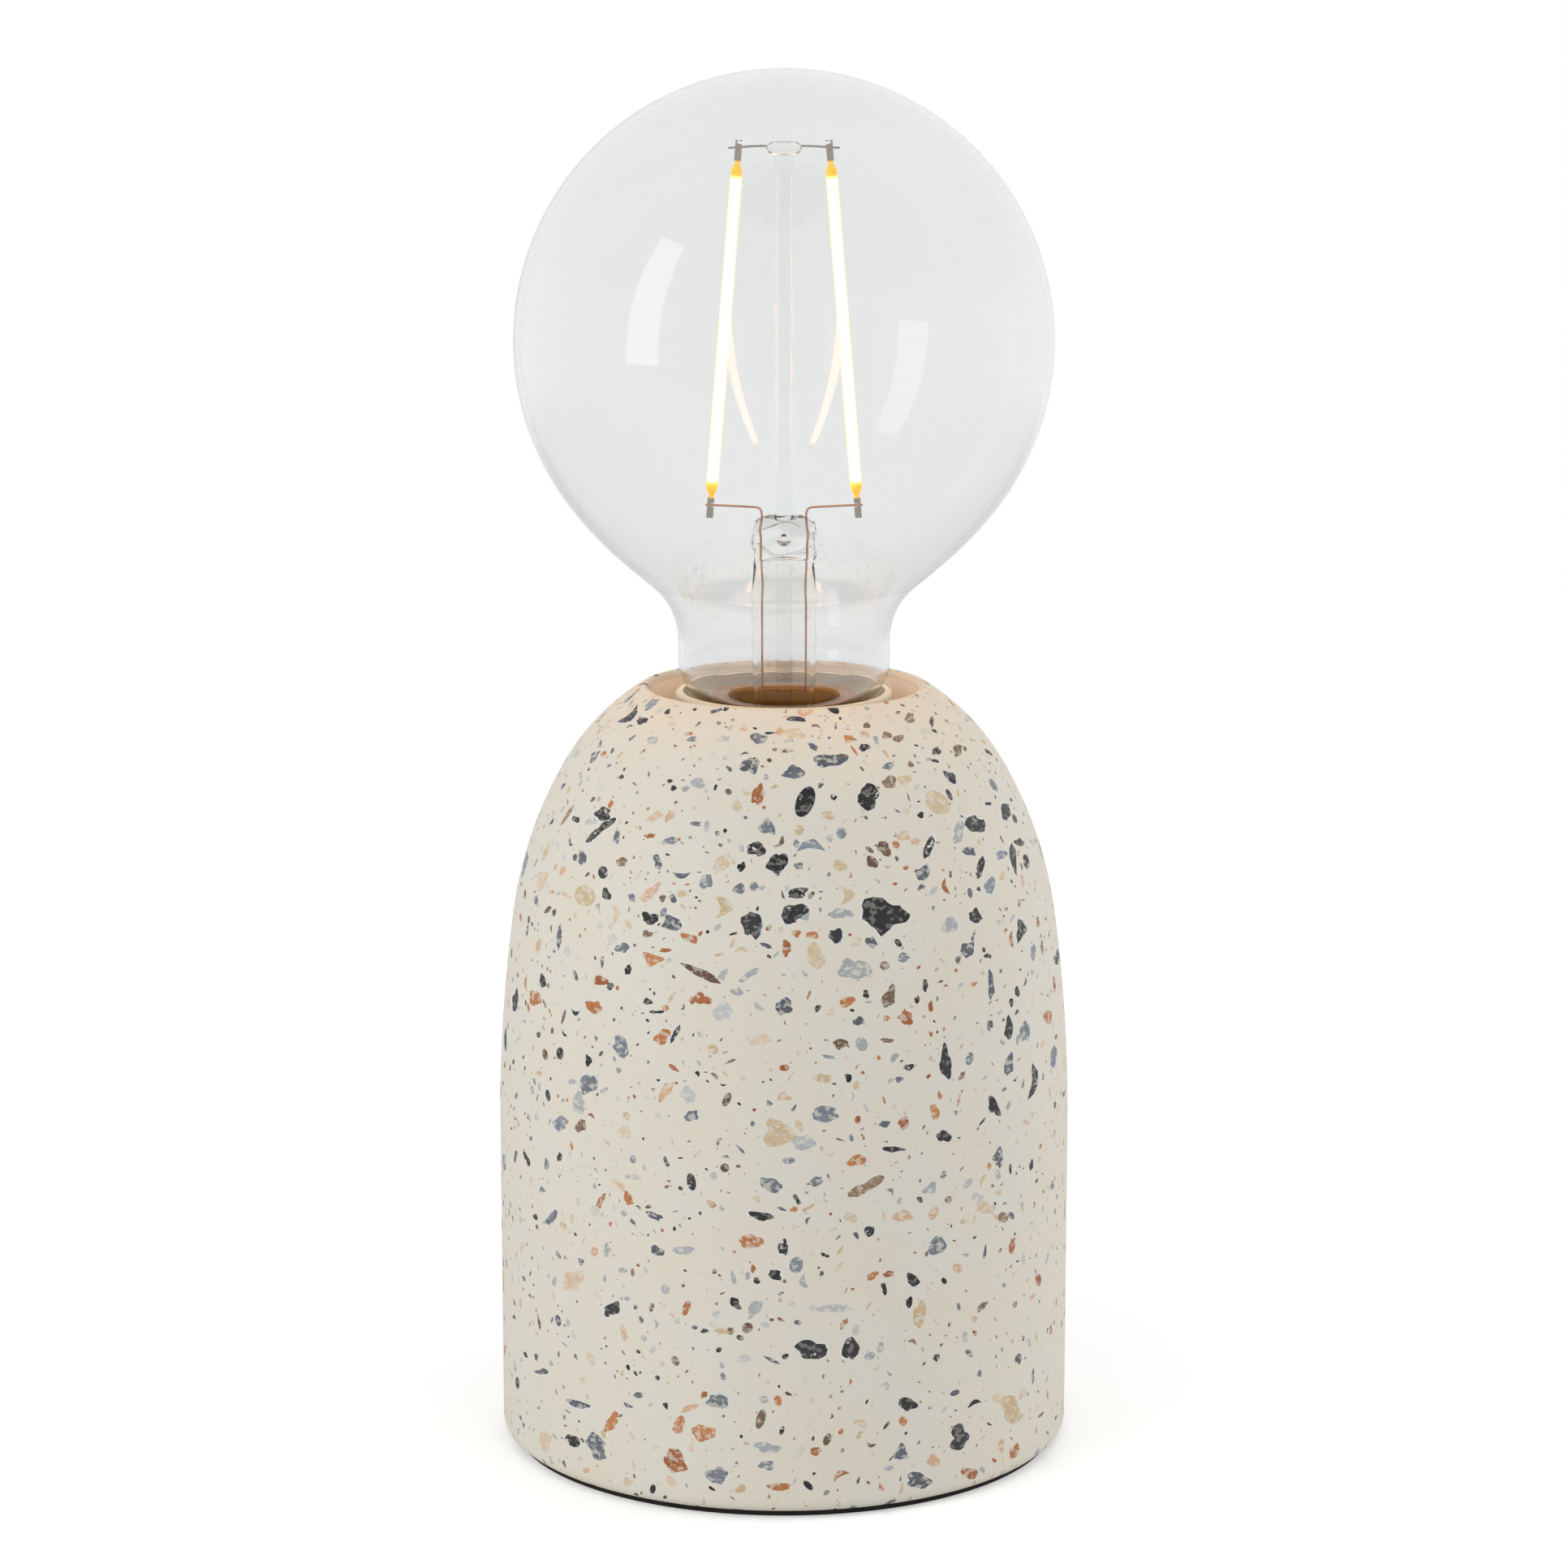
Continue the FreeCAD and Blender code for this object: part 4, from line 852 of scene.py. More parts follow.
def set_on(piece: bpy.types.Object, body: str) -> None:
    """Lets a finished piece move with a body.

    Args:
        piece: The piece.
        body: The body that it moves with.
    """
    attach(piece, body)
    log.info("%s: %d faces, on %s", piece.name, len(piece.data.polygons), body)


def stands_for(piece: bpy.types.Object, node: str, body: str) -> None:
    """Puts a finished piece in the place of a solid.

    Args:
        piece: The piece.
        node: The solid that it replaces.
        body: The body that it moves with.
    """
    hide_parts(node)
    set_on(piece, body)


def dress(finish: Finish, *nodes: str) -> None:
    """Gives solids that keep their own shape a finish.

    Args:
        finish: The finish.
        nodes: The solids' names.
    """
    for name in nodes:
        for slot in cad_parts[name].material_slots:
            slot.material = finish.material()
        log.info("%s: %s", name, finish.name)


# The camera and the studio


@dataclass(frozen=True)
class Viewpoint:
    """Where the photograph was taken from, and with what lens."""

    distance: float = 801.5
    height: float = 280.3
    pitch: float = 11.34
    focal_pixels: float = 5631.0
    frame_pixels: float = 1932.0
    sensor: float = 36.0

    def place(self) -> None:
        """Puts the camera in the scene."""
        camera = bpy.data.cameras.new("camera")
        camera.sensor_width = self.sensor
        camera.lens = self.focal_pixels / self.frame_pixels * self.sensor
        camera.clip_end = 100.0
        holder = link(bpy.data.objects.new("camera", camera))
        holder.location = self.spot() * MM
        holder.rotation_euler = (math.radians(90 - self.pitch), 0, 0)
        bpy.context.scene.camera = holder

    def spot(self) -> Vector:
        """The camera's place."""
        return Vector((0, -self.distance, self.height))

    def way(self, across: float, down: float) -> Vector:
        """The way from the camera through a pixel of the photograph.

        Args:
            across: Pixels from the photograph's left edge.
            down: Pixels from its top edge.

        Returns:
            A way of length one.
        """
        half = self.frame_pixels / 2
        flat = Vector(((across - half) / self.focal_pixels, 1, (half - down) / self.focal_pixels))
        return (Matrix.Rotation(math.radians(-self.pitch), 3, "X") @ flat).normalized()


@dataclass(frozen=True)
class SoftBox:
    """A lamp behind a white cloth. Its turn is counted from the front, to the right."""

    name: str
    turn: float
    height: float
    distance: float
    width: float
    length: float
    power: float
    aim: float
    mirrored: bool = False

    def place(self) -> None:
        """Puts the lamp in the scene."""
        lamp = bpy.data.lights.new(self.name, "AREA")
        lamp.shape = "RECTANGLE"
        lamp.size = self.width * MM
        lamp.size_y = self.length * MM
        lamp.energy = self.power
        holder = link(bpy.data.objects.new(self.name, lamp))
        turn = math.radians(self.turn)
        spot = Vector((math.sin(turn), -math.cos(turn), 0)) * self.distance
        spot.z = self.height
        holder.location = spot * MM
        facing = Vector((0, 0, self.aim)) - spot
        holder.rotation_euler = facing.to_track_quat("-Z", "Y").to_euler()
        hide(holder, self.mirrored)


SOFT_BOXES = (
    SoftBox(
        "left_box", turn=-61, height=760, distance=1500,
        width=400, length=1400, power=2.2, aim=760, mirrored=True,
    ),
    SoftBox(
        "left_fill", turn=-50, height=900, distance=1700,
        width=900, length=1200, power=7.3, aim=100,
    ),
    SoftBox(
        "right_fill", turn=96, height=700, distance=1700,
        width=900, length=1400, power=8.0, aim=200,
    ),
    SoftBox(
        "top_fill", turn=10, height=1900, distance=300,
        width=1300, length=1300, power=4.1, aim=120,
    ),
)


@dataclass(frozen=True)
class Warmth:
    """The warm light that the two filaments throw on what stands round the bulb."""

    colour: Colour = (255, 192, 134)
    power: float = 0.056
    radius: float = 6.0
    across: float = 11.5
    height: float = 188.0

    def place(self) -> None:
        """Puts a small round lamp beside each filament."""
        for name, side in (("warmth_0", -1), ("warmth_1", 1)):
            lamp = bpy.data.lights.new(name, "POINT")
            lamp.energy = self.power
            lamp.color = linear(self.colour)[:3]
            lamp.shadow_soft_size = self.radius * MM
            holder = link(bpy.data.objects.new(name, lamp))
            holder.location = Vector((self.across * side, 0, self.height)) * MM
            hide(holder)


@dataclass(frozen=True)
class Studio:
    """A wide white table in a white room that is dimmer towards the front."""

    floor_half: float = 14000.0
    floor_gap: float = 0.05
    near: float = 300.0
    far: float = 1100.0
    floor_lift: float = 0.3
    card: Colour = (240, 240, 240)
    card_shade: Colour = (236, 236, 236)
    card_patch: float = 60.0
    card_share: float = 0.3
    card_rough: float = 0.9
    ambient: float = 0.64
    front_level: float = 0.24
    right_level: float = 0.65
    left_level: float = 0.5
    sky_share: float = 0.55
    back_level: float = 1.0
    side_from: float = 0.1
    side_to: float = 0.95
    back_from: float = -0.15
    back_to: float = 0.6

    def place(self) -> None:
        """Makes the table, the lamps and the surrounding light."""
        self.place_floor()
        self.place_world()
        for box in SOFT_BOXES:
            box.place()
        Warmth().place()
        bpy.context.scene.view_settings.view_transform = "Standard"

    def place_floor(self) -> None:
        """Makes the table's face as one sheet."""
        half = self.floor_half * MM
        mesh = bpy.data.meshes.new("table_face")
        low = -self.floor_gap * MM
        corners = [(-half, -half, low), (half, -half, low), (half, half, low), (-half, half, low)]
        mesh.from_pydata(corners, [], [(0, 1, 2, 3)])
        mesh.materials.append(self.floor_material())
        link(bpy.data.objects.new("table_face", mesh))

    def room_level(self, graph: Graph, way: Signal) -> Signal:
        """How bright the room looks in glass and gloss.

        Args:
            graph: Where the nodes go.
            way: The way looked, of length one.

        Returns:
            The level: white behind the lamp and above it, and dim in front.
        """
        split = graph.add("ShaderNodeSeparateXYZ", {}, {0: way})
        x, y, z = (graph.out(split, axis) for axis in "XYZ")
        right = x.between(self.side_from, self.side_to) * self.right_level
        left = (0 - x).between(self.side_from, self.side_to) * self.left_level
        back = y + z.larger(0.0) * self.sky_share
        behind = back.between(self.back_from, self.back_to)
        front = right + left + self.front_level
        return front + behind * (self.back_level - front)

    def shown_level(self, graph: Graph, way: Signal) -> Signal:
        """How bright the room is where it is seen: white, but for what gloss mirrors.

        Args:
            graph: Where the nodes go.
            way: The way looked, of length one.

        Returns:
            The level.
        """
        path = graph.add("ShaderNodeLightPath")
        straight = graph.out(path, "Is Camera Ray").larger(graph.out(path, "Is Transmission Ray"))
        return straight * self.back_level + (1 - straight) * self.room_level(graph, way)

    def floor_material(self) -> bpy.types.Material:
        """White card that keeps the lamp's shadow, and fades into the room further off."""
        graph = Graph(bpy.data.materials.new("table_card"))
        spread = graph.add("ShaderNodeVectorMath", {"operation": "LENGTH"}, {0: graph.place()})
        away = graph.out(spread, "Value").between(self.near * MM, self.far * MM)
        way = graph.add("ShaderNodeVectorMath", {"operation": "NORMALIZE"}, {0: graph.place()})
        camera = graph.out(graph.add("ShaderNodeLightPath"), "Is Camera Ray")
        level = self.shown_level(graph, graph.out(way))
        mottle = graph.grain(self.card_patch) * self.card_share
        card = graph.shade(
            Base_Color=graph.blend(mottle, self.card, self.card_shade), Roughness=self.card_rough
        )
        lift = graph.emission(camera * self.floor_lift)
        lifted = graph.add("ShaderNodeAddShader", {}, {0: card, 1: lift})
        shown = graph.mix(away, graph.out(lifted), graph.emission(level))
        return graph.finish(graph.mix(graph.seen(), card, shown))

    def place_world(self) -> None:
        """Lights the room evenly, and shows it white to the camera."""
        world = bpy.data.worlds.new("room")
        bpy.context.scene.world = world
        graph = Graph(world)
        way = graph.out(graph.add("ShaderNodeTexCoord"), "Generated")
        seen = graph.seen()
        level = seen * self.shown_level(graph, way) + (1 - seen) * self.ambient
        sky = graph.add("ShaderNodeBackground", {}, {"Color": (1, 1, 1, 1), "Strength": level})
        graph.add("ShaderNodeOutputWorld", {}, {"Surface": graph.out(sky)})


# The dome


class Shape(Enum):
    """The forms that chips break into."""

    PEBBLE = "round, worn smooth"
    SHARD = "angular, four to six corners"
    WEDGE = "three corners"
    SLIVER = "thin, pointed at both ends"
    CRESCENT = "a bent sliver"
    BITTEN = "a shard with a hollow in one side"
    PINCHED = "two lumps on a neck"
    DROP = "round at one end and pointed at the other"


@dataclass(frozen=True)
class Breakage:
    """How stone breaks into chips of each shape. Ends are those of a random measure."""

    straight_bend: Ends = (-0.12, 0.12)
    crescent_bend: Ends = (0.8, 1.1)
    crescent_width: float = 0.55
    fullness: Ends = (0.5, 0.9)
    skew: Ends = (-0.4, 0.4)
    bluntness: float = 0.12
    sliver_jag: Ends = (0.8, 1.15)
    long_sliver: float = 6.0
    wedge_sides: int = 3
    shard_sides: tuple[int, ...] = (4, 4, 5, 6)
    plain_sides: int = 5
    pebble_roundness: float = 0.9
    broken_roundness: float = 0.35
    plain_roundness: float = 0.6
    small: float = 1.2
    large: float = 3.2
    corners: tuple[int, int, int] = (9, 14, 22)
    ripples: tuple[tuple[int, float], ...] = ((2, 0.12), (3, 0.1), (5, 0.07))
    jag: Ends = (0.92, 1.08)
    bite: float = 0.62
    drop: float = 0.45
    neck: float = 0.45
    lobes: float = 0.6
    fray: Ends = (1.0, 1.13)

    def outline(
        self, shape: Shape, length: float, width: float, chance: random.Random
    ) -> list[Vector]:
        """Draws a chip, its length along X, about its own middle.

        Args:
            shape: Its form.
            length: Its length.
            width: Its width.
            chance: Where its uneven edges come from.

        Returns:
            The corners, in the units of the sizes.
        """
        if shape in (Shape.SLIVER, Shape.CRESCENT):
            return self.sliver(shape, length, width, chance)
        return self.lump(shape, length, width, chance)

    def sliver(
        self, shape: Shape, length: float, width: float, chance: random.Random
    ) -> list[Vector]:
        """Draws a thin chip, pointed at both ends.

        Args:
            shape: Whether it is straight or bent.
            length: Its length.
            width: Its width.
            chance: Where its uneven edges come from.

        Returns:
            The corners.
        """
        corners = []
        bend = chance.uniform(*self.straight_bend)
        if shape is Shape.CRESCENT:
            width *= self.crescent_width
            bend = chance.uniform(*self.crescent_bend)
        fullness = chance.uniform(*self.fullness)
        skew = chance.uniform(*self.skew)
        half = 5 if length > self.long_sliver else 4
        for side in (-1, 1):
            for i in range(half):
                along = -side * (1 - 2 * i / half)
                swell = max(0.0, 1 - along * along) ** fullness * (1 + skew * along)
                swell += self.bluntness
                jag = chance.uniform(*self.sliver_jag)
                x = along * length / 2
                y = side * swell * width / 2 * jag + (0.5 - along * along) * bend * width
                corners.append(Vector((x, y)))
        return corners

    def lump(
        self, shape: Shape, length: float, width: float, chance: random.Random
    ) -> list[Vector]:
        """Draws a chip that goes round its middle.

        Args:
            shape: Its form.
            length: Its length.
            width: Its width.
            chance: Where its uneven edges come from.

        Returns:
            The corners.
        """
        broken = self.broken_roundness
        sides = {Shape.WEDGE: self.wedge_sides, Shape.SHARD: chance.choice(self.shard_sides)}
        sector = math.pi / sides.get(shape, self.plain_sides)
        rounds = {Shape.PEBBLE: self.pebble_roundness, Shape.WEDGE: broken, Shape.SHARD: broken}
        roundness = rounds.get(shape, self.plain_roundness)
        few, some, many = self.corners
        count = few if length < self.small else some if length < self.large else many
        turn = chance.uniform(0, math.tau)
        bite = chance.uniform(0, math.tau)
        starts = [chance.uniform(0, math.tau) for _ in self.ripples]
        corners = []
        for i in range(count):
            angle = math.tau * i / count
            inner = math.cos(sector) / math.cos((angle + turn) % (2 * sector) - sector)
            reach = roundness + (1 - roundness) * inner
            if shape is not Shape.PEBBLE:
                reach *= 1 + sum(
                    swell * math.sin(waves * angle + start)
                    for (waves, swell), start in zip(self.ripples, starts)
                )
                reach *= chance.uniform(*self.jag)
            if shape is Shape.BITTEN:
                reach *= 1 - self.bite * max(0.0, math.cos(angle - bite)) ** 4
            if shape is Shape.DROP:
                point = max(0.0, math.cos(angle)) ** 0.5
                reach *= 1 - self.drop * abs(math.sin(angle)) * point
            if shape is Shape.PINCHED:
                reach *= self.neck + self.lobes * abs(math.cos(angle)) ** 1.5
            x, y = math.cos(angle) * length / 2, math.sin(angle) * width / 2
            corners.append(Vector((x, y)) * reach)
        return corners

    def frayed(
        self, corners: Sequence[Vector], shift: float, chance: random.Random
    ) -> list[Vector]:
        """Draws the pale, frayed edge that shows along one side of a dark chip.

        Args:
            corners: The chip's outline.
            shift: How far the edge lies to one side.
            chance: Where the fraying comes from.

        Returns:
            An outline a little larger than the chip.
        """
        away = chance.uniform(0, math.tau)
        moved = Vector((math.cos(away), math.sin(away))) * shift
        return [corner * chance.uniform(*self.fray) + moved for corner in corners]


@dataclass(frozen=True)
class Seen:
    """A chip that the photograph shows: its middle, size and tilt, in the photograph's pixels."""

    x: float
    y: float
    long: float
    wide: float
    tilt: float = 0.0
    shape: Shape = Shape.SHARD


def anticlockwise(corners: Sequence[Vector]) -> list[Vector]:
    """The corners of a flat outline, turned round if they run clockwise."""
    area = sum(first.cross(second) for first, second in zip(corners, [*corners[1:], corners[0]]))
    return list(corners) if area > 0 else list(reversed(corners))


@dataclass
class Patch:
    """A chip's outline on the unrolled skin."""

    stone: Stone
    corners: list[Vector]
    tone: float


@dataclass
class Dome:
    """The cast terrazzo dome: its turned form, and the chips ground flush with its skin."""

    radius: float = 51.4
    foot: float = 1.0
    foot_round: float = 2.2
    straight_height: float = 57.0
    flank_arc: float = 284.0
    flank_turn: float = 8.0
    shoulder_arc: float = 74.0
    shoulder_turn: float = 30.0
    rim_turn: float = 58.0
    lip_round: float = 1.2
    well_radius: float = 23.8
    well_floor: float = 79.0
    floor_bottom: float = 69.0
    tube_hole: float = 5.25
    cavity_radius: float = 37.0
    cavity_round: float = 4.0
    cover_seat_radius: float = 44.15
    cover_top: float = 3.0
    inlet_height: float = 14.0
    inlet_sink_radius: float = 6.95
    inlet_sink_back: float = 49.0
    inlet_bore_radius: float = 5.15
    inlet_sides: int = 36
    columns: int = 180
    seam: float = 135.0
    edge: float = 0.05
    seed: int = 41
    seen_size: float = 1.12
    frost_from: float = 14.0
    frost_pixels: float = 1.2
    frost_shift: float = 0.14
    chips: int = 4600
    tries: int = 6
    shown_turn: float = 1.35
    shown_length: float = 1.5
    shown_longest: float = 5.5
    hidden_length: float = 1.8
    hidden_longest: float = 8.0
    hidden_spread: float = 1.3
    speck_share: float = 0.22
    speck_least: float = 0.4
    speck_most: float = 0.95
    speck_under: float = 1.0
    length_spread: float = 0.5
    seam_share: float = 0.6
    seam_gap: float = 0.1
    apart_share: float = 0.42
    apart_gap: float = 0.12
    lowest: float = 0.3
    below_lip: float = 1.2
    sliver_width: Ends = (0.16, 0.3)
    crescent_width: Ends = (0.4, 0.62)
    plain_width: Ends = (0.42, 0.9)
    frost_length: float = 2.0
    cell: float = 8.0
    breakage: Breakage = Breakage()

    def __post_init__(self) -> None:
        """Draws the skin's section, and measures the skin as it lies unrolled."""
        self.outline = self.skin_outline()
        self.steps = [self.outline.runs[0][0]] + [high for _, high in self.outline.pairs()]
        self.marks = [0.0]
        for low, high in self.outline.pairs():
            reach = math.hypot(high.radius - low.radius, high.height - low.height)
            self.marks.append(self.marks[-1] + reach)
        self.low_end = (math.radians(self.seam) - math.tau) * self.radius

    def skin_outline(self) -> Outline:
        """The ground outside, from the foot to the edge of the well."""
        flank, shoulder, rim = self.flank_turn, self.shoulder_turn, self.rim_turn
        flank_r = self.radius - self.flank_arc * (1 - cos_of(flank))
        flank_z = self.straight_height + self.flank_arc * sin_of(flank)
        shoulder_r = flank_r - self.shoulder_arc * (cos_of(flank) - cos_of(shoulder))
        shoulder_z = flank_z + self.shoulder_arc * (sin_of(shoulder) - sin_of(flank))
        rim_r = self.well_radius + self.lip_round * (1 + cos_of(rim))
        crown_arc = (shoulder_r - rim_r) / (cos_of(shoulder) - cos_of(rim))
        rim_z = shoulder_z + crown_arc * (sin_of(rim) - sin_of(shoulder))
        lip_z = rim_z - self.lip_round * sin_of(rim)
        outline = Outline(self.radius - self.foot_round, self.foot)
        outline.arc(self.radius, self.foot + self.foot_round, -self.foot_round, 0.5)
        outline.line(self.radius, self.straight_height, 3.0)
        outline.arc(flank_r, flank_z, -self.flank_arc, 2.4)
        outline.arc(shoulder_r, shoulder_z, -self.shoulder_arc, 1.6)
        outline.arc(rim_r, rim_z, -crown_arc, 1.3)
        return outline.arc(self.well_radius, lip_z, -self.lip_round, 0.3)

    def inner_outline(self, lip: float) -> Outline:
        """The rest of the section, from the edge of the well round to the foot."""
        outline = Outline(self.well_radius, lip)
        outline.line(self.well_radius, self.well_floor)
        outline.line(self.tube_hole, self.well_floor)
        outline.line(self.tube_hole, self.floor_bottom)
        outline.line(self.cavity_radius - self.cavity_round, self.floor_bottom)
        outline.arc(
            self.cavity_radius, self.floor_bottom - self.cavity_round, -self.cavity_round
        )
        outline.line(self.cavity_radius, self.cover_top)
        outline.line(self.cover_seat_radius, self.cover_top)
        outline.line(self.cover_seat_radius, self.foot)
        return outline.line(self.radius - self.foot_round, self.foot)

    def build(self, view: Viewpoint) -> None:
        """Makes the dome.

        Args:
            view: Where the photographed chips were seen from.
        """
        chance = random.Random(self.seed)
        patches = self.seen_patches(view, chance)
        patches += self.scattered_patches(patches, chance)
        skin = Skin()
        self.tile(skin, patches)
        self.sink_inlet(skin)
        inside = self.inner_outline(self.steps[-1].height)
        # The inside takes the last material, the cast skin, which is painted paler and warmer as
        # painted light from the bulb.
        skin.turn(inside, self.columns, len(Stone) + 1, self.seam - 90)
        piece = skin.piece("terrazzo_dome", CREAM, *(stone.value for stone in Stone), PAINTED_LIGHT_CAST_SKIN)
        stands_for(piece, "terrazzo_body", "lamp")
        log.info("terrazzo_dome: %d chips", len(patches))

    # The skin is unrolled: X is the way round at the foot's radius, and Y the way up it.
    def point_at(self, flat: Vector) -> tuple[Vector, Vector]:
        """Rolls a point of the unrolled skin back on.

        Args:
            flat: The way round and the way up.

        Returns:
            The point, and the way the skin faces there.
        """
        up = held(flat.y, 0.0, self.marks[-1])
        low, high = 0, len(self.marks) - 1
        while high - low > 1:
            middle = (low + high) // 2
            low, high = (middle, high) if self.marks[middle] <= up else (low, middle)
        share = (up - self.marks[low]) / (self.marks[high] - self.marks[low])
        first, second = self.steps[low], self.steps[high]
        mixed = [
            getattr(first, name) * (1 - share) + getattr(second, name) * share
            for name in ("radius", "height", "out_radius", "out_height")
        ]
        turn = flat.x / self.radius - math.pi / 2
        c, s = math.cos(turn), math.sin(turn)
        return (
            Vector((mixed[0] * c, mixed[0] * s, mixed[1])),
            Vector((mixed[2] * c, mixed[2] * s, mixed[3])),
        )

    def flat_at(self, point: Vector) -> Vector:
        """Unrolls a point of the skin."""
        radius = math.hypot(point.x, point.y)
        best = (math.inf, 0.0)
        for i, (low, high) in enumerate(zip(self.steps, self.steps[1:])):
            edge = Vector((high.radius - low.radius, high.height - low.height))
            away = Vector((radius - low.radius, point.z - low.height))
            share = held(away.dot(edge) / edge.length_squared)
            gap = (away - edge * share).length
            if gap < best[0]:
                best = (gap, self.marks[i] + edge.length * share)
        turn = math.atan2(point.x, -point.y)
        if turn > math.radians(self.seam):
            turn -= math.tau
        return Vector((turn * self.radius, best[1]))

    def seen_patches(self, view: Viewpoint, chance: random.Random) -> list[Patch]:
        """Lays the photographed chips on the skin, through the camera.

        Args:
            view: Where the photograph was taken from.
            chance: Where the uneven edges come from.

        Returns:
            Their outlines on the unrolled skin.
        """
        plain = Skin().turn(self.outline, self.columns)
        tree = BVHTree.FromPolygons(plain.points, plain.faces)

        def laid(chip: Seen, corners: Sequence[Vector]) -> list[Vector]:
            """The outline, in pixels about the chip's middle, on the unrolled skin."""
            turn = Matrix.Rotation(math.radians(-chip.tilt), 2)
            found = []
            for corner in corners:
                moved = turn @ corner
                hit = tree.ray_cast(view.spot(), view.way(chip.x + moved.x, chip.y + moved.y))[0]
                if hit is not None:
                    found.append(self.flat_at(hit))
            return found

        patches = []
        size = self.seen_size
        for stone, chips in SEEN_CHIPS.items():
            for chip in chips:
                long, wide = chip.long * size, chip.wide * size
                corners = self.breakage.outline(chip.shape, long, wide, chance)
                if stone in DARK_STONES and chip.long > self.frost_from:
                    frost = self.breakage.frayed(corners, self.frost_pixels, chance)
                    patches.append(Patch(Stone.FROST, laid(chip, frost), chance.random()))
                patches.append(Patch(stone, laid(chip, corners), chance.random()))
        return [patch for patch in patches if len(patch.corners) > 2]

    def scattered_patches(self, taken: Sequence[Patch], chance: random.Random) -> list[Patch]:
        """Scatters chips over the rest of the skin.

        Args:
            taken: Chips already laid.
            chance: Where places, sizes and stones come from.

        Returns:
            The further chips.
        """
        low_end, high_end = self.low_end, math.radians(self.seam) * self.radius
        grid: dict[tuple[int, int], list[tuple[Vector, float]]] = {}

        def room(middle: Vector, reach: float) -> bool:
            """Whether the place is free, and takes it."""
            column, row = int(middle.x // self.cell), int(middle.y // self.cell)
            for i in (-1, 0, 1):
                for j in (-1, 0, 1):
                    for other, size in grid.get((column + i, row + j), ()):
                        if (other - middle).length < reach + size:
                            return False
            grid.setdefault((column, row), []).append((middle, reach))
            return True

        behind = Vector((0, self.radius, self.inlet_height))
        room(Vector((-math.pi * self.radius, self.flat_at(behind).y)), self.cell)
        for patch in taken:
            middle = sum(patch.corners, Vector((0, 0))) / len(patch.corners)
            reach = sum((corner - middle).length for corner in patch.corners) / len(patch.corners)
            room(middle, reach)
        patches = []
        for _ in range(self.chips * self.tries):
            if len(patches) >= self.chips:
                break
            up = chance.uniform(self.lowest, self.marks[-1] - self.below_lip)
            across = chance.uniform(low_end, high_end)
            length = self.random_length(across, chance)
            spot, _ = self.point_at(Vector((0, up)))
            squeeze = -spot.y / self.radius
            if chance.random() > squeeze * (0.5 + 0.5 * up / self.marks[-1]):
                continue
            margin = (length * self.seam_share + self.seam_gap) / squeeze
            if not low_end + margin < across < high_end - margin:
                continue
            middle = Vector((across, up))
            if room(middle, length * self.apart_share + self.apart_gap):
                patches += self.random_patches(length, middle, squeeze, chance)
        return patches

    def random_length(self, across: float, chance: random.Random) -> float:
        """Draws the length of a scattered chip.

        Args:
            across: Its place, as the way round. Chips that the photograph hides are longer.
            chance: Where the length comes from.

        Returns:
            The length.
        """
        spread = math.exp(chance.gauss(0, self.length_spread))
        length = min(self.shown_longest, self.shown_length * spread)
        if abs(across) > self.radius * self.shown_turn:
            length = min(self.hidden_longest, self.hidden_length * spread**self.hidden_spread)
        if chance.random() < self.speck_share:
            length = chance.uniform(self.speck_least, self.speck_most)
        return length

    def random_patches(
        self, length: float, middle: Vector, squeeze: float, chance: random.Random
    ) -> list[Patch]:
        """Breaks one scattered chip, with a pale edge under it where the stone is dark.

        Args:
            length: Its length.
            middle: Its place on the unrolled skin.
            squeeze: The skin's radius there, as a share of the foot's.
            chance: Where its stone and its shape come from.

        Returns:
            The pale edge, if any, and the chip.
        """
        stone = chance.choices(*zip(*STONE_SHARES.items()))[0]
        shape = chance.choices(*zip(*SHAPE_SHARES.items()))[0]
        if length < self.speck_under:
            shape, stone = chance.choice(SPECK_SHAPES), chance.choice(SPECK_STONES)
        share = chance.uniform(*(self.sliver_width if shape is Shape.SLIVER else self.plain_width))
        if shape is Shape.CRESCENT:
            share = chance.uniform(*self.crescent_width)
        corners = self.breakage.outline(shape, length, length * share, chance)
        turn = Matrix.Rotation(chance.uniform(0, math.tau), 2)
        tone = chance.random()
        patches = []
        if stone in DARK_STONES and length > self.frost_length:
            frost = self.breakage.frayed(corners, self.frost_shift, chance)
            laid = self.settle(frost, turn, middle, squeeze)
            patches.append(Patch(Stone.FROST, laid, chance.random()))
        return [*patches, Patch(stone, self.settle(corners, turn, middle, squeeze), tone)]

    @staticmethod
    def settle(
        corners: Sequence[Vector], turn: Matrix, middle: Vector, squeeze: float
    ) -> list[Vector]:
        """Turns a chip's outline and lays it on the unrolled skin.

        Args:
            corners: The outline about its own middle.
            turn: How the chip lies.
            middle: Where it lies.
            squeeze: The skin's radius there, as a share of the foot's.

        Returns:
            The outline on the unrolled skin.
        """
        turned = [turn @ corner for corner in corners]
        return [middle + Vector((point.x / squeeze, point.y)) for point in turned]

    def inlet_rim(self) -> list[Vector]:
        """The edge of the inlet's recess on the unrolled skin."""
        rim = []
        for i in range(self.inlet_sides):
            turn = math.tau * i / self.inlet_sides
            x = self.inlet_sink_radius * math.cos(turn)
            z = self.inlet_height + self.inlet_sink_radius * math.sin(turn)
            rim.append(self.flat_at(Vector((x, math.sqrt(self.radius**2 - x * x), z))))
        return rim

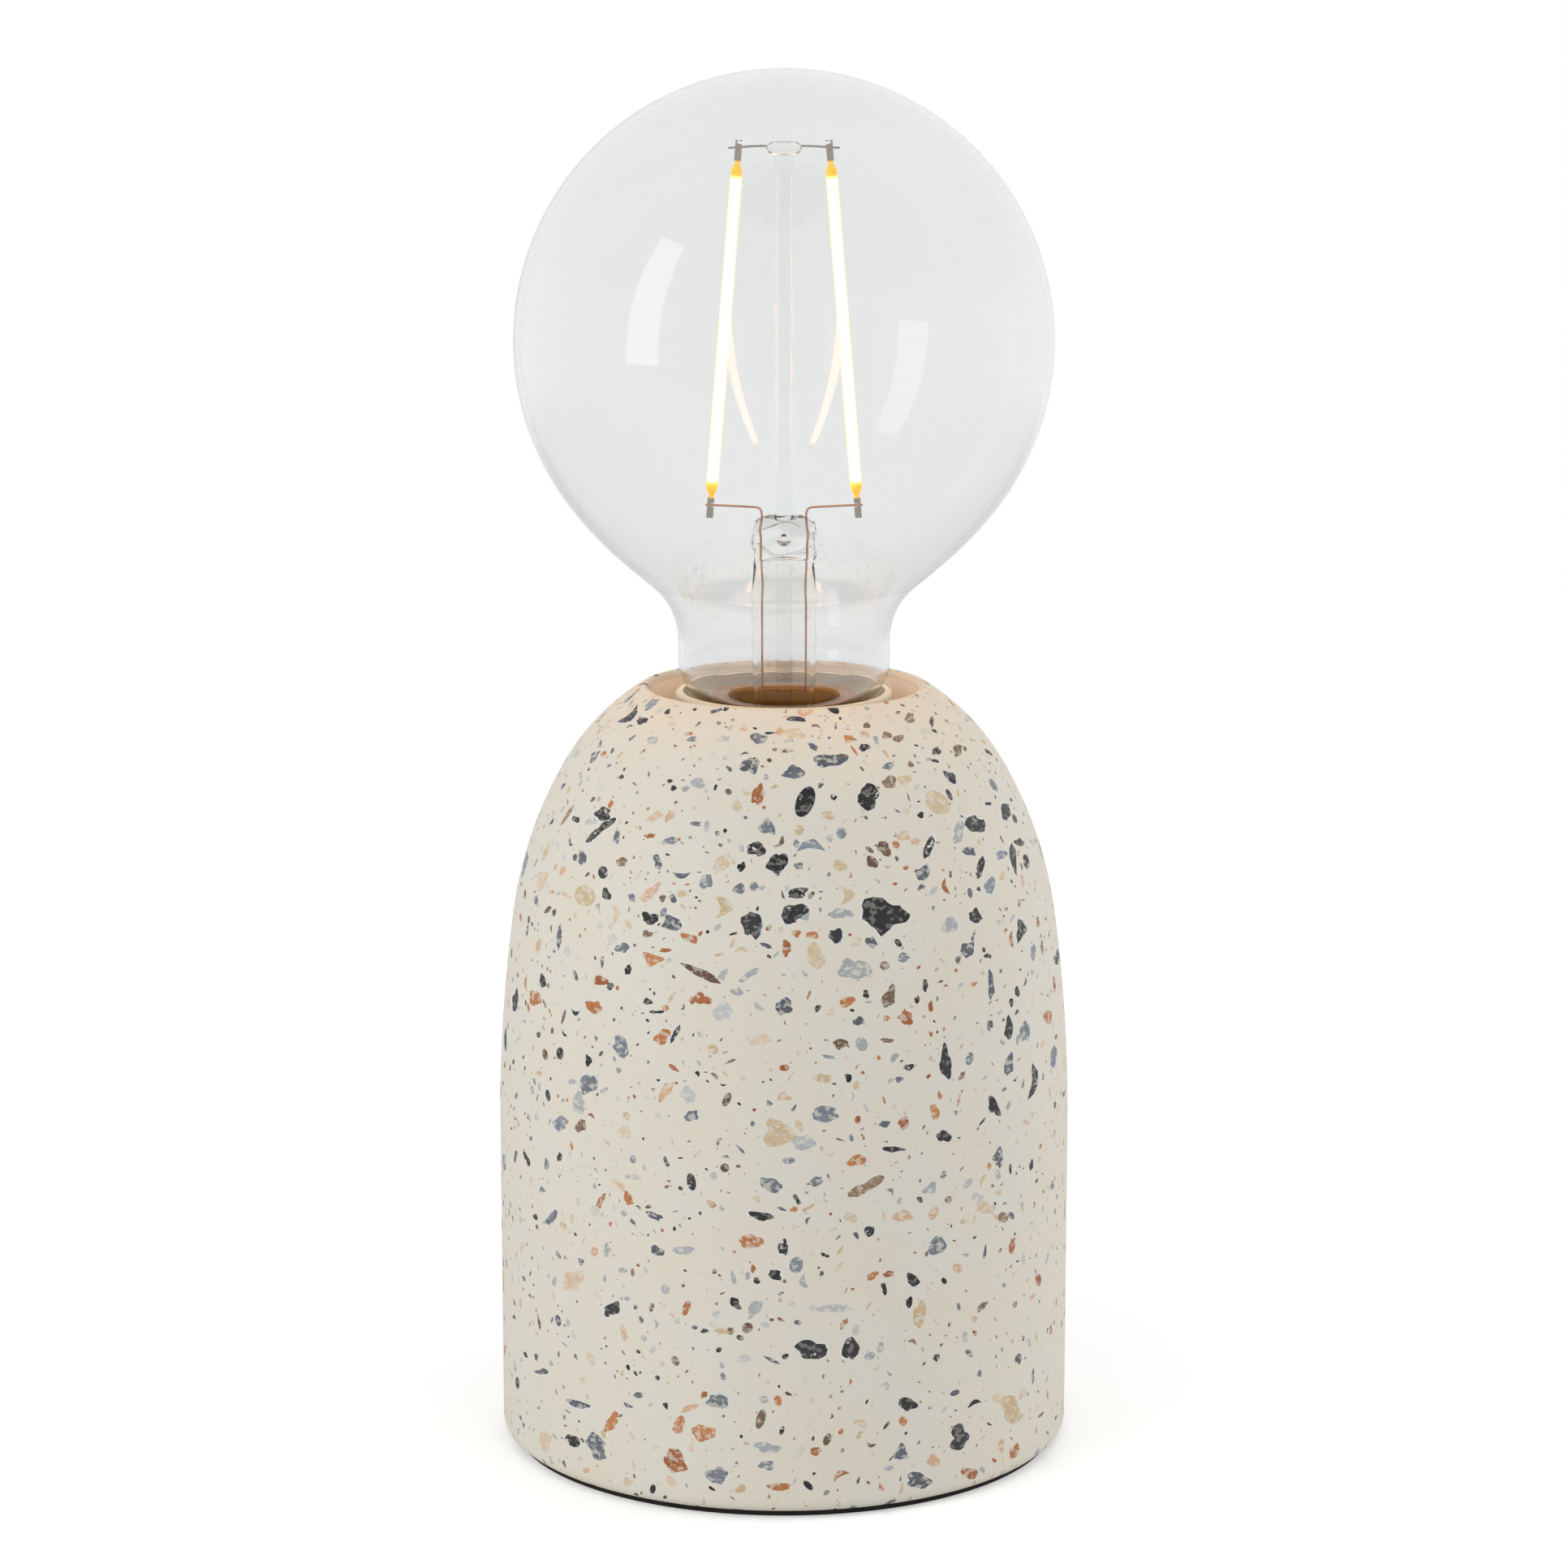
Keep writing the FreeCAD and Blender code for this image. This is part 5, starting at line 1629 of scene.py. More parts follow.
    def tile(self, skin: Skin, patches: Sequence[Patch]) -> None:
        """Covers the skin with triangles that follow every chip's edge.

        Args:
            skin: Where the faces go.
            patches: The chips, the later ones over the earlier.
        """
        span = math.tau * self.radius
        points, outlines = [], []
        for column in range(self.columns + 1):
            for mark in self.marks:
                points.append(Vector((self.low_end + span * column / self.columns, mark)))
        for corners in [self.inlet_rim()] + [patch.corners for patch in patches]:
            outlines.append(list(range(len(points), len(points) + len(corners))))
            for corner in anticlockwise(corners):
                # A chip that reaches past the foot or the lip is ground off just short of it.
                up = held(corner.y, self.edge, self.marks[-1] - self.edge)
                points.append(Vector((corner.x, up)))
        flat, _, faces, _, _, owners = delaunay_2d_cdt(points, [], outlines, 0, MEET, True)
        order = list(Stone)
        rolled = [self.point_at(point) for point in flat]
        for face, owner in zip(faces, owners):
            if 0 in owner:
                continue
            patch = patches[max(owner) - 1] if owner else None
            first, second, third = (flat[number] for number in face)
            way = (second - first).cross(third - first)
            turned = face if way > 0 else list(reversed(face))
            skin.face(
                [rolled[number][0] for number in turned],
                [rolled[number][1] for number in turned],
                order.index(patch.stone) + 1 if patch else 0,
                patch.tone if patch else 0.5,
            )

    def sink_inlet(self, skin: Skin) -> None:
        """Makes the walls of the recess that the cable bushing sits in.

        Args:
            skin: Where the faces go.
        """
        rim = [self.point_at(flat)[0] for flat in self.inlet_rim()]
        axis = Vector((0, 0, self.inlet_height))
        for i, first in enumerate(rim):
            second = rim[(i + 1) % len(rim)]
            ways = [(p - axis) for p in (first, second)]
            ways = [Vector((way.x, 0, way.z)).normalized() for way in ways]
            back = Vector((0, self.inlet_sink_back, self.inlet_height))
            deep = Vector((0, self.cavity_radius, self.inlet_height))
            outer = [back + way * self.inlet_sink_radius for way in ways]
            inner = [back + way * self.inlet_bore_radius for way in ways]
            end = [deep + way * self.inlet_bore_radius for way in ways]
            inward = [-way for way in ways]
            out = Vector((0, 1, 0))
            skin.face([first, second, outer[1], outer[0]], [*inward, *reversed(inward)])
            skin.face([outer[0], outer[1], inner[1], inner[0]], [out] * 4)
            skin.face([inner[0], inner[1], end[1], end[0]], [*inward, *reversed(inward)])


STONE_SHARES = {
    Stone.BLACK: 0.13,
    Stone.SLATE: 0.21,
    Stone.GREY: 0.19,
    Stone.RUST: 0.1,
    Stone.BROWN: 0.07,
    Stone.TAN: 0.11,
    Stone.BLUSH: 0.08,
    Stone.PALE: 0.11,
}
SHAPE_SHARES = {
    Shape.PEBBLE: 0.2,
    Shape.SHARD: 0.24,
    Shape.WEDGE: 0.1,
    Shape.SLIVER: 0.14,
    Shape.CRESCENT: 0.1,
    Shape.BITTEN: 0.12,
    Shape.PINCHED: 0.1,
}
DARK_STONES = (Stone.BLACK, Stone.SLATE)
SPECK_STONES = (Stone.BLACK, Stone.SLATE, Stone.BROWN, Stone.RUST, Stone.TAN)
SPECK_SHAPES = (Shape.PEBBLE, Shape.SHARD, Shape.SLIVER, Shape.WEDGE)
SEEN_CHIPS: dict[Stone, tuple[Seen, ...]] = {
    Stone.BLACK: (
        Seen(x=1092, y=1127, long=62, wide=38, shape=Shape.DROP),
        Seen(x=927, y=1139, long=40, wide=28, tilt=90, shape=Shape.WEDGE),
        Seen(x=958, y=1064, long=27, wide=24, tilt=80),
        Seen(x=992, y=988, long=36, wide=20, tilt=68, shape=Shape.PEBBLE),
        Seen(x=1072, y=984, long=31, wide=28, shape=Shape.BITTEN),
        Seen(x=1203, y=1014, long=25, wide=23, tilt=90, shape=Shape.BITTEN),
        Seen(x=740, y=1022, long=38, wide=14, tilt=38, shape=Shape.PINCHED),
        Seen(x=743, y=1003, long=20, wide=15, tilt=20),
        Seen(x=983, y=1100, long=29, wide=12, tilt=20),
        Seen(x=801, y=1130, long=21, wide=16, shape=Shape.BITTEN),
        Seen(x=743, y=1075, long=14, wide=11, tilt=90, shape=Shape.PEBBLE),
        Seen(x=1000, y=1663, long=36, wide=22), Seen(x=1048, y=1662, long=30, wide=20, tilt=90),
        Seen(x=1165, y=1307, long=40, wide=15, tilt=98, shape=Shape.DROP),
        Seen(x=1272, y=1333, long=42, wide=12, tilt=82, shape=Shape.CRESCENT),
        Seen(x=1258, y=1146, long=27, wide=14, tilt=85, shape=Shape.WEDGE),
        Seen(x=1243, y=1267, long=30, wide=10, tilt=84), Seen(x=1030, y=1153, long=18, wide=15),
        Seen(x=1180, y=1772, long=28, wide=25, tilt=60, shape=Shape.BITTEN),
        Seen(x=965, y=1537, long=17, wide=14, tilt=80), Seen(x=955, y=1571, long=16, wide=14),
        Seen(x=1125, y=1577, long=16, wide=13, tilt=-30),
        Seen(x=757, y=1612, long=26, wide=15, tilt=20, shape=Shape.BITTEN),
        Seen(x=938, y=1498, long=33, wide=9, tilt=-6), Seen(x=1100, y=1416, long=25, wide=8),
        Seen(x=981, y=886, long=26, wide=6), Seen(x=635, y=1233, long=26, wide=8, tilt=86),
        Seen(x=690, y=1298, long=14, wide=8, tilt=90, shape=Shape.PEBBLE),
        Seen(x=775, y=881, long=30, wide=12, tilt=40, shape=Shape.CRESCENT),
        Seen(x=791, y=888, long=14, wide=8), Seen(x=706, y=1775, long=19, wide=12, tilt=-25),
        Seen(x=1118, y=1730, long=22, wide=17),
        Seen(x=1144, y=1044, long=28, wide=9, tilt=68, shape=Shape.SLIVER),
        Seen(x=1208, y=1069, long=27, wide=7, tilt=76, shape=Shape.SLIVER),
        Seen(x=1249, y=1059, long=38, wide=6, tilt=98, shape=Shape.SLIVER),
        Seen(x=1065, y=921, long=12, wide=9), Seen(x=1140, y=1214, long=14, wide=7, tilt=90),
        Seen(x=832, y=1274, long=24, wide=5, tilt=62, shape=Shape.SLIVER),
        Seen(x=809, y=1247, long=16, wide=6, shape=Shape.PINCHED),
        Seen(x=1239, y=1000, long=22, wide=10, tilt=96),
        Seen(x=1130, y=1232, long=10, wide=6, tilt=90), Seen(x=1217, y=1178, long=9, wide=7),
        Seen(x=1246, y=1235, long=10, wide=6, tilt=90), Seen(x=798, y=1234, long=10, wide=8),
        Seen(x=774, y=1195, long=12, wide=8, tilt=90), Seen(x=752, y=1215, long=9, wide=8),
        Seen(x=1154, y=926, long=12, wide=8), Seen(x=1148, y=889, long=12, wide=6, tilt=90),
        Seen(x=1256, y=1038, long=12, wide=10), Seen(x=979, y=1125, long=33, wide=25, tilt=10),
        Seen(x=932, y=1046, long=20, wide=18), Seen(x=1067, y=1225, long=11, wide=8, tilt=90),
        Seen(x=1163, y=1400, long=16, wide=14), Seen(x=1120, y=1315, long=12, wide=8),
        Seen(x=868, y=1640, long=9, wide=6), Seen(x=1302, y=1180, long=20, wide=6, tilt=88),
        Seen(x=1232, y=1430, long=18, wide=8, tilt=75),
    ),
    Stone.SLATE: (
        Seen(x=945, y=1019, long=24, wide=21, tilt=90, shape=Shape.WEDGE),
        Seen(x=999, y=1044, long=32, wide=16, tilt=180, shape=Shape.CRESCENT),
        Seen(x=1023, y=937, long=40, wide=24, tilt=10, shape=Shape.PINCHED),
        Seen(x=924, y=945, long=24, wide=20, tilt=90, shape=Shape.BITTEN),
        Seen(x=978, y=952, long=27, wide=16, tilt=15), Seen(x=935, y=910, long=20, wide=12),
        Seen(x=966, y=1240, long=24, wide=19, tilt=80),
        Seen(x=1020, y=1372, long=36, wide=21, shape=Shape.BITTEN),
        Seen(x=725, y=1336, long=27, wide=20, tilt=60),
        Seen(x=763, y=1288, long=28, wide=20, tilt=110, shape=Shape.BITTEN),
        Seen(x=870, y=1086, long=21, wide=15, tilt=80),
        Seen(x=840, y=1077, long=21, wide=9, shape=Shape.CRESCENT),
        Seen(x=826, y=1036, long=21, wide=9, tilt=15), Seen(x=857, y=1015, long=15, wide=6),
        Seen(x=760, y=1031, long=21, wide=7, tilt=86), Seen(x=828, y=1138, long=23, wide=20),
        Seen(x=767, y=1168, long=16, wide=14), Seen(x=911, y=1095, long=15, wide=11),
        Seen(x=929, y=1092, long=11, wide=10), Seen(x=984, y=1067, long=11, wide=10),
        Seen(x=717, y=1057, long=19, wide=9, tilt=90), Seen(x=1137, y=1076, long=20, wide=17),
        Seen(x=1194, y=1049, long=16, wide=12), Seen(x=1234, y=1053, long=15, wide=10),
        Seen(x=1220, y=1091, long=22, wide=11, tilt=78), Seen(x=1095, y=944, long=13, wide=10),
        Seen(x=1113, y=1180, long=16, wide=11), Seen(x=1192, y=1170, long=21, wide=16, tilt=90),
        Seen(x=1263, y=1271, long=27, wide=11, tilt=84),
        Seen(x=1273, y=1173, long=24, wide=6, tilt=86),
        Seen(x=1243, y=1312, long=30, wide=11, tilt=84), Seen(x=1058, y=1258, long=14, wide=12),
        Seen(x=852, y=1375, long=18, wide=14), Seen(x=1155, y=1535, long=25, wide=19, tilt=80),
        Seen(x=885, y=1727, long=31, wide=16, tilt=-10),
        Seen(x=735, y=1782, long=31, wide=21, tilt=-62), Seen(x=883, y=1818, long=23, wide=21),
        Seen(x=1132, y=1824, long=27, wide=20),
        Seen(x=1110, y=1790, long=21, wide=20, tilt=90, shape=Shape.WEDGE),
        Seen(x=742, y=1185, long=14, wide=5, tilt=90),
        Seen(x=806, y=1498, long=20, wide=9, tilt=-20),
        Seen(x=680, y=1500, long=20, wide=9, tilt=60),
        Seen(x=1230, y=1425, long=22, wide=12, tilt=70), Seen(x=1090, y=1385, long=14, wide=8),
        Seen(x=1005, y=1456, long=22, wide=10, tilt=20), Seen(x=690, y=1384, long=20, wide=16),
        Seen(x=1298, y=1302, long=26, wide=9, tilt=86), Seen(x=668, y=1690, long=16, wide=8),
        Seen(x=712, y=1730, long=26, wide=9, tilt=-12),
    ),
    Stone.GREY: (
        Seen(x=1036, y=1126, long=31, wide=11, tilt=5),
        Seen(x=1182, y=1023, long=27, wide=10, tilt=80), Seen(x=990, y=1408, long=27, wide=22),
        Seen(x=1053, y=1192, long=34, wide=32, shape=Shape.BITTEN),
        Seen(x=923, y=1201, long=29, wide=12, tilt=35, shape=Shape.PINCHED),
        Seen(x=908, y=1222, long=15, wide=11),
        Seen(x=891, y=1249, long=26, wide=25, shape=Shape.BITTEN),
        Seen(x=1170, y=1140, long=21, wide=17), Seen(x=946, y=1784, long=30, wide=14, tilt=-8),
        Seen(x=1025, y=1612, long=44, wide=9), Seen(x=930, y=1612, long=24, wide=16, tilt=60),
        Seen(x=748, y=1540, long=16, wide=9, tilt=80),
        Seen(x=1180, y=1030, long=20, wide=9, tilt=80), Seen(x=860, y=965, long=18, wide=12),
        Seen(x=1204, y=1475, long=16, wide=10), Seen(x=780, y=1450, long=18, wide=7),
        Seen(x=1085, y=1660, long=14, wide=8, tilt=90),
    ),
    Stone.RUST: (
        Seen(x=850, y=1156, long=22, wide=11, tilt=-14),
        Seen(x=804, y=1182, long=26, wide=18, shape=Shape.WEDGE),
        Seen(x=820, y=1171, long=16, wide=5), Seen(x=732, y=1241, long=19, wide=17),
        Seen(x=818, y=1278, long=20, wide=19, shape=Shape.BITTEN),
        Seen(x=866, y=1230, long=21, wide=16, shape=Shape.BITTEN),
        Seen(x=853, y=1233, long=8, wide=8), Seen(x=801, y=1030, long=12, wide=6),
        Seen(x=934, y=979, long=27, wide=14, tilt=66), Seen(x=1001, y=1152, long=18, wide=8),
        Seen(x=969, y=1168, long=20, wide=10, tilt=96), Seen(x=1116, y=1254, long=18, wide=16),
        Seen(x=1092, y=1255, long=8, wide=8), Seen(x=1152, y=1370, long=23, wide=10, tilt=98),
        Seen(x=1055, y=1430, long=25, wide=11, tilt=20),
        Seen(x=925, y=1530, long=29, wide=16, tilt=8),
        Seen(x=754, y=1752, long=25, wide=13, tilt=66), Seen(x=960, y=1832, long=24, wide=10),
        Seen(x=1195, y=1815, long=21, wide=13), Seen(x=659, y=1230, long=22, wide=14, tilt=90),
        Seen(x=1291, y=1253, long=18, wide=10, tilt=88), Seen(x=740, y=1208, long=16, wide=13),
        Seen(x=1005, y=1788, long=14, wide=9), Seen(x=1247, y=1535, long=24, wide=7, tilt=82),
        Seen(x=1095, y=1570, long=12, wide=8), Seen(x=740, y=1480, long=20, wide=8, tilt=60),
        Seen(x=1075, y=1572, long=14, wide=9, tilt=40),
        Seen(x=1250, y=1788, long=18, wide=12, tilt=60),
    ),
    Stone.BROWN: (
        Seen(x=766, y=1062, long=14, wide=11), Seen(x=1096, y=964, long=18, wide=14),
        Seen(x=1096, y=1227, long=30, wide=15, tilt=76, shape=Shape.DROP),
        Seen(x=1090, y=1190, long=11, wide=10, shape=Shape.PEBBLE),
        Seen(x=1036, y=1286, long=17, wide=14), Seen(x=1093, y=1282, long=15, wide=6),
        Seen(x=1066, y=1463, long=46, wide=20, tilt=24, shape=Shape.PINCHED),
        Seen(x=1068, y=894, long=10, wide=6), Seen(x=1121, y=885, long=13, wide=11),
        Seen(x=1093, y=906, long=14, wide=8), Seen(x=1107, y=910, long=12, wide=9),
        Seen(x=1180, y=924, long=17, wide=10, tilt=80),
        Seen(x=863, y=1199, long=52, wide=8, tilt=-28, shape=Shape.SLIVER),
        Seen(x=893, y=1439, long=10, wide=10, shape=Shape.PEBBLE),
        Seen(x=1236, y=1500, long=12, wide=12, shape=Shape.PEBBLE),
        Seen(x=900, y=1640, long=9, wide=8, shape=Shape.PEBBLE),
        Seen(x=1210, y=1610, long=18, wide=6, tilt=40),
    ),
    Stone.TAN: (
        Seen(x=888, y=1117, long=27, wide=23, tilt=90, shape=Shape.CRESCENT),
        Seen(x=1005, y=1178, long=31, wide=20, tilt=-62),
        Seen(x=1041, y=1103, long=23, wide=19, tilt=90, shape=Shape.CRESCENT),
        Seen(x=1035, y=1067, long=16, wide=14), Seen(x=1114, y=961, long=17, wide=12),
        Seen(x=977, y=903, long=21, wide=14),
        Seen(x=955, y=1395, long=40, wide=34, shape=Shape.BITTEN),
        Seen(x=1133, y=1620, long=29, wide=16, tilt=80),
        Seen(x=1243, y=1737, long=36, wide=25, tilt=80, shape=Shape.BITTEN),
        Seen(x=985, y=1023, long=11, wide=11, shape=Shape.PEBBLE),
        Seen(x=908, y=993, long=12, wide=12, shape=Shape.PEBBLE),
        Seen(x=1024, y=1248, long=10, wide=10, shape=Shape.PEBBLE),
        Seen(x=962, y=1146, long=7, wide=7, shape=Shape.PEBBLE),
        Seen(x=1048, y=1500, long=18, wide=12), Seen(x=770, y=1395, long=18, wide=15),
        Seen(x=1214, y=1488, long=20, wide=15), Seen(x=890, y=1640, long=18, wide=8),
        Seen(x=1230, y=1723, long=14, wide=12, shape=Shape.PEBBLE),
    ),
    Stone.BLUSH: (
        Seen(x=801, y=1100, long=29, wide=12, tilt=40),
        Seen(x=936, y=1282, long=28, wide=12, tilt=10),
        Seen(x=757, y=1128, long=25, wide=11, tilt=84, shape=Shape.CRESCENT),
        Seen(x=807, y=1006, long=23, wide=10, tilt=20), Seen(x=1020, y=1005, long=15, wide=10),
        Seen(x=1113, y=1030, long=18, wide=12), Seen(x=1128, y=1037, long=11, wide=9),
        Seen(x=706, y=1578, long=30, wide=24, tilt=60),
        Seen(x=672, y=1776, long=31, wide=16, tilt=82, shape=Shape.WEDGE),
        Seen(x=668, y=1085, long=26, wide=14, tilt=66), Seen(x=1112, y=1498, long=22, wide=14),
        Seen(x=1150, y=1800, long=18, wide=14), Seen(x=850, y=1735, long=26, wide=7, tilt=20),
        Seen(x=820, y=1345, long=26, wide=12, tilt=50),
    ),
}


# The bulb


@dataclass
class GlobeBulb:
    """The clear globe bulb: its glass, its stem, and the two lit filaments."""

    globe_radius: float = 47.5
    globe_height: float = 198.7
    globe_turn: float = 52.5
    wall: float = 1.0
    under_arc: float = 68.0
    under_turn: float = 40.3
    throat_arc: float = 13.2
    neck_radius: float = 18.8
    heel_round: float = 7.7
    cap_top: float = 134.2
    heel_gap: float = 0.05
    tail_length: float = 10.8
    press_bottom: float = 159.6
    press_top: float = 167.6
    flare_radius: float = 5.7
    flare_wall: float = 0.8
    rod_radius: float = 1.7
    rod_top: float = 231.2
    tail_radius: float = 11.1
    press_half_width: float = 5.4
    press_half_depth: float = 2.2
    press_round: float = 1.6
    press_melt: float = 0.4
    pinch_run: float = 5.0
    press_swell: tuple[float, float] = (0.28, 0.35)
    press_taper: float = 0.45
    melt_foot: float = 1.0
    melt_run: float = 3.0
    # Each row of waves: how many go round, how high, how far they turn with height, and a start.
    melt_waves: tuple[tuple[int, float, float, float], ...] = (
        (3, 0.04, 1.1, 0.7), (5, 0.02, -1.9, 0.0)
    )
    lump_run: float = 2.4
    lump_high: float = 0.42
    lump_side: float = 0.12
    ring_points: int = 64
    ring_step: float = 0.5
    ring_power: float = 0.25
    vault: float = 1.3
    hole_high: float = 163.8
    hole_half: float = 1.05
    hole_radius: float = 1.4
    hole_arc: float = 1.6
    # Each fold: how far below the hole it lies, its reach to each side, and its sag.
    folds: tuple[tuple[float, float, float], ...] = (
        (0.9, 4.5, 1.9), (1.9, 3.6, 1.1), (-1.2, 4.3, -0.9)
    )
    fold_radius: float = 0.17
    fold_depth: float = 0.5
    fold_bow: float = 0.8
    fold_wave: float = 0.25
    bell_height: float = 9.0
    exhaust_radius: float = 1.45
    exhaust_bottom: float = 122.6
    exhaust_tip: float = 1.5
    exhaust_arc: float = 1.8
    lead_side: float = 3.9
    lead_foot: float = 118.4
    lead_high: float = 169.5
    hook_high: float = 232.55
    wire_radius: float = 0.19
    resin_radius: float = 11.8
    resin_reach: float = 13.25
    resin_depth: float = 9.8
    resin_gap: float = 0.01
    bond: float = 0.25
    bead_radius: float = 3.15
    bead_height: float = 2.4
    bead_round: float = 1.5
    filament_radius: float = 1.0
    tip_share: float = 0.42
    shoulder_share: float = 0.96
    tip_run: float = 1.5
    tip_arc: float = 2.6
    core_radius: float = 0.84
    core_end: float = 2.4
    filament_foot_reach: float = 12.9
    filament_top_reach: float = 8.1
    filament_foot: float = 171.1
    filament_top: float = 230.2

    def glass_outline(self) -> Outline:
        """The glass: outside from the crown down, then inside back up."""
        turn, lean, t = self.globe_turn, self.under_turn, self.wall
        spread = self.globe_radius - self.under_arc
        under_z = self.globe_height - spread * cos_of(turn)
        under_z -= self.under_arc * cos_of(lean)
        under_r = spread * sin_of(turn)
        under_r += self.under_arc * sin_of(lean)
        across = under_r - self.throat_arc * (1 - sin_of(lean)) - self.neck_radius
        throat_r = under_r - across
        throat_z = under_z - across * math.tan(math.radians(lean))
        neck_z = throat_z - self.throat_arc * cos_of(lean)
        globe_r = self.globe_radius * sin_of(turn)
        globe_z = self.globe_height - self.globe_radius * cos_of(turn)
        tail_r = self.tail_radius
        heel_z = self.cap_top + self.heel_gap + self.heel_round
        tail_z = self.cap_top - self.tail_length

        def inside(radius: float, height: float, facing: float) -> tuple[float, float]:
            """The point one wall inside a point of the skin."""
            return radius - t * sin_of(facing), height + t * cos_of(facing)

        outline = Outline(tail_r - t, tail_z)
        outline.line(tail_r, tail_z)
        outline.line(tail_r, heel_z - self.heel_round)
        outline.arc(self.neck_radius, heel_z, -self.heel_round, 0.7)
        outline.line(self.neck_radius, neck_z)
        outline.arc(throat_r, throat_z, self.throat_arc, 0.8)
        outline.line(under_r, under_z)
        outline.arc(globe_r, globe_z, -self.under_arc, 1.6)
        outline.arc(0.0, self.globe_height + self.globe_radius, -self.globe_radius, 1.6)
        inner = Outline(0.0, self.globe_height + self.globe_radius - t)
        inner.arc(*inside(globe_r, globe_z, turn), self.globe_radius - t, 1.6)
        inner.arc(*inside(under_r, under_z, lean), self.under_arc - t, 1.6)
        inner.line(*inside(throat_r, throat_z, lean))
        inner.arc(self.neck_radius - t, neck_z, -self.throat_arc - t, 0.8)
        inner.line(self.neck_radius - t, heel_z)
        inner.arc(tail_r, heel_z - self.heel_round + t, self.heel_round - t, 0.7)
        inner.line(tail_r - t, heel_z - self.heel_round + t)
        inner.line(tail_r - t, tail_z)
        outline.runs += inner.runs
        return outline

    def build(self) -> None:
        """Makes the bulb's pieces."""
        glass = Skin().turn(self.glass_outline(), 160).piece("globe", CLEAR_GLASS)
        stands_for(glass, "globe_glass", "bulb")
        self.build_rod()
        self.build_stem()
        self.build_folds()
        self.build_exhaust()
        self.build_wires()
        self.build_resin()
        for side, name in ((1, "filament_right"), (-1, "filament_left")):
            self.build_filament(side, name)

    def build_rod(self) -> None:
        """Makes the glass rod with its bead."""
        rod = Outline(0.0, self.press_top - self.press_melt)
        rod.line(self.rod_radius, self.press_top - self.press_melt)
        rod.line(self.rod_radius, self.rod_top, 8.0)
        middle = self.rod_top + self.bead_height / 2
        rod.arc(self.bead_radius, middle, -self.bead_round, 0.3)
        rod.arc(self.rod_radius, self.rod_top + self.bead_height, -self.bead_round, 0.3)
        rod.line(0.0, self.rod_top + self.bead_height)
        piece = Skin().turn(rod, 32).piece("rod", ROD_GLASS)
        stands_for(piece, "support_rod", "bulb")

    def pinch(self, height: float) -> float:
        """How far the flare tube is pinched at a height, from none at zero to all at one."""
        return held((height - self.press_bottom + self.pinch_run) / self.pinch_run)

    def stem_half(self, height: float) -> tuple[float, float]:
        """The stem's half width and half depth at a height."""
        bottom, top = self.press_bottom, self.press_top
        share = self.pinch(height)
        share = share * share * (3 - 2 * share)
        swell = math.sin(math.pi * held((height - bottom) / (top - bottom)))
        round_off = max(0.0, height - top + self.press_round) / self.press_round
        shrink = 1 - (1 - math.sqrt(max(0.0, 1 - round_off**2))) * self.press_taper
        width = self.flare_radius * (1 - share) + self.press_half_width * share
        depth = self.flare_radius * (1 - share) + self.press_half_depth * share
        wide, deep = self.press_swell
        return (width + wide * swell) * shrink, (depth + deep * swell) * shrink

    def stem_ring(self, height: float, half: Sequence[float], power: float = 2.0) -> list[Vector]:
        """A ring of the stem's skin, uneven where the glass was molten.

        Args:
            height: Its height.
            half: Its half width and half depth.
            power: Two for an ellipse, and squarer above.

        Returns:
            The ring's points.
        """
        points = []
        molten = held((height - self.press_bottom + self.melt_foot) / self.melt_run)
        risen = held((height - self.press_top + self.lump_run) / self.lump_run)
        for i in range(self.ring_points):
            turn = math.tau * i / self.ring_points
            c, d = math.cos(turn), math.sin(turn)
            swell = 1.0
            for waves, size, twist, start in self.melt_waves:
                swell += molten * size * math.sin(waves * turn + height * twist + start)
            x = math.copysign(abs(c) ** (2 / power), c) * half[0] * swell
            y = math.copysign(abs(d) ** (2 / power), d) * half[1] * swell
            lump = self.lump_high * math.cos(2 * turn) + self.lump_side * math.sin(turn)
            points.append(Vector((x, y, height + risen * lump)))
        return points

    def stem_rings(self) -> tuple[list[list[Vector]], list[list[Vector]]]:
        """The rings of the stem's skin and of its hollow, from the foot of the flare up."""
        outer, inner = [], []
        bell = self.tail_radius - self.wall
        foot = self.cap_top - self.tail_length
        for i in range(7):
            height, radius = foot + self.bell_height * i / 6, self.bell_at(i / 6, bell)
            outer.append(self.stem_ring(height, (radius, radius)))
            hollow = radius - self.flare_wall
            inner.append(self.stem_ring(height, (hollow, hollow)))
        start = self.press_bottom - self.pinch_run
        steps = math.ceil((self.press_top - start) / self.ring_step)
        for height in [start + self.ring_step * i for i in range(steps)] + [self.press_top]:
            half, power = self.stem_half(height), 2.0 + self.ring_power * self.pinch(height)
            outer.append(self.stem_ring(height, half, power))
            if height < self.press_bottom:
                hollow = [h - self.flare_wall for h in half]
                inner.append(self.stem_ring(height, hollow, power))
        vault_foot = self.stem_half(self.press_bottom)
        for i in range(1, 6):
            turn = 90 * i / 6
            half = [(h - self.flare_wall) * cos_of(turn) for h in vault_foot]
            inner.append(self.stem_ring(self.press_bottom + self.vault * sin_of(turn), half, 2.2))
        return outer, inner

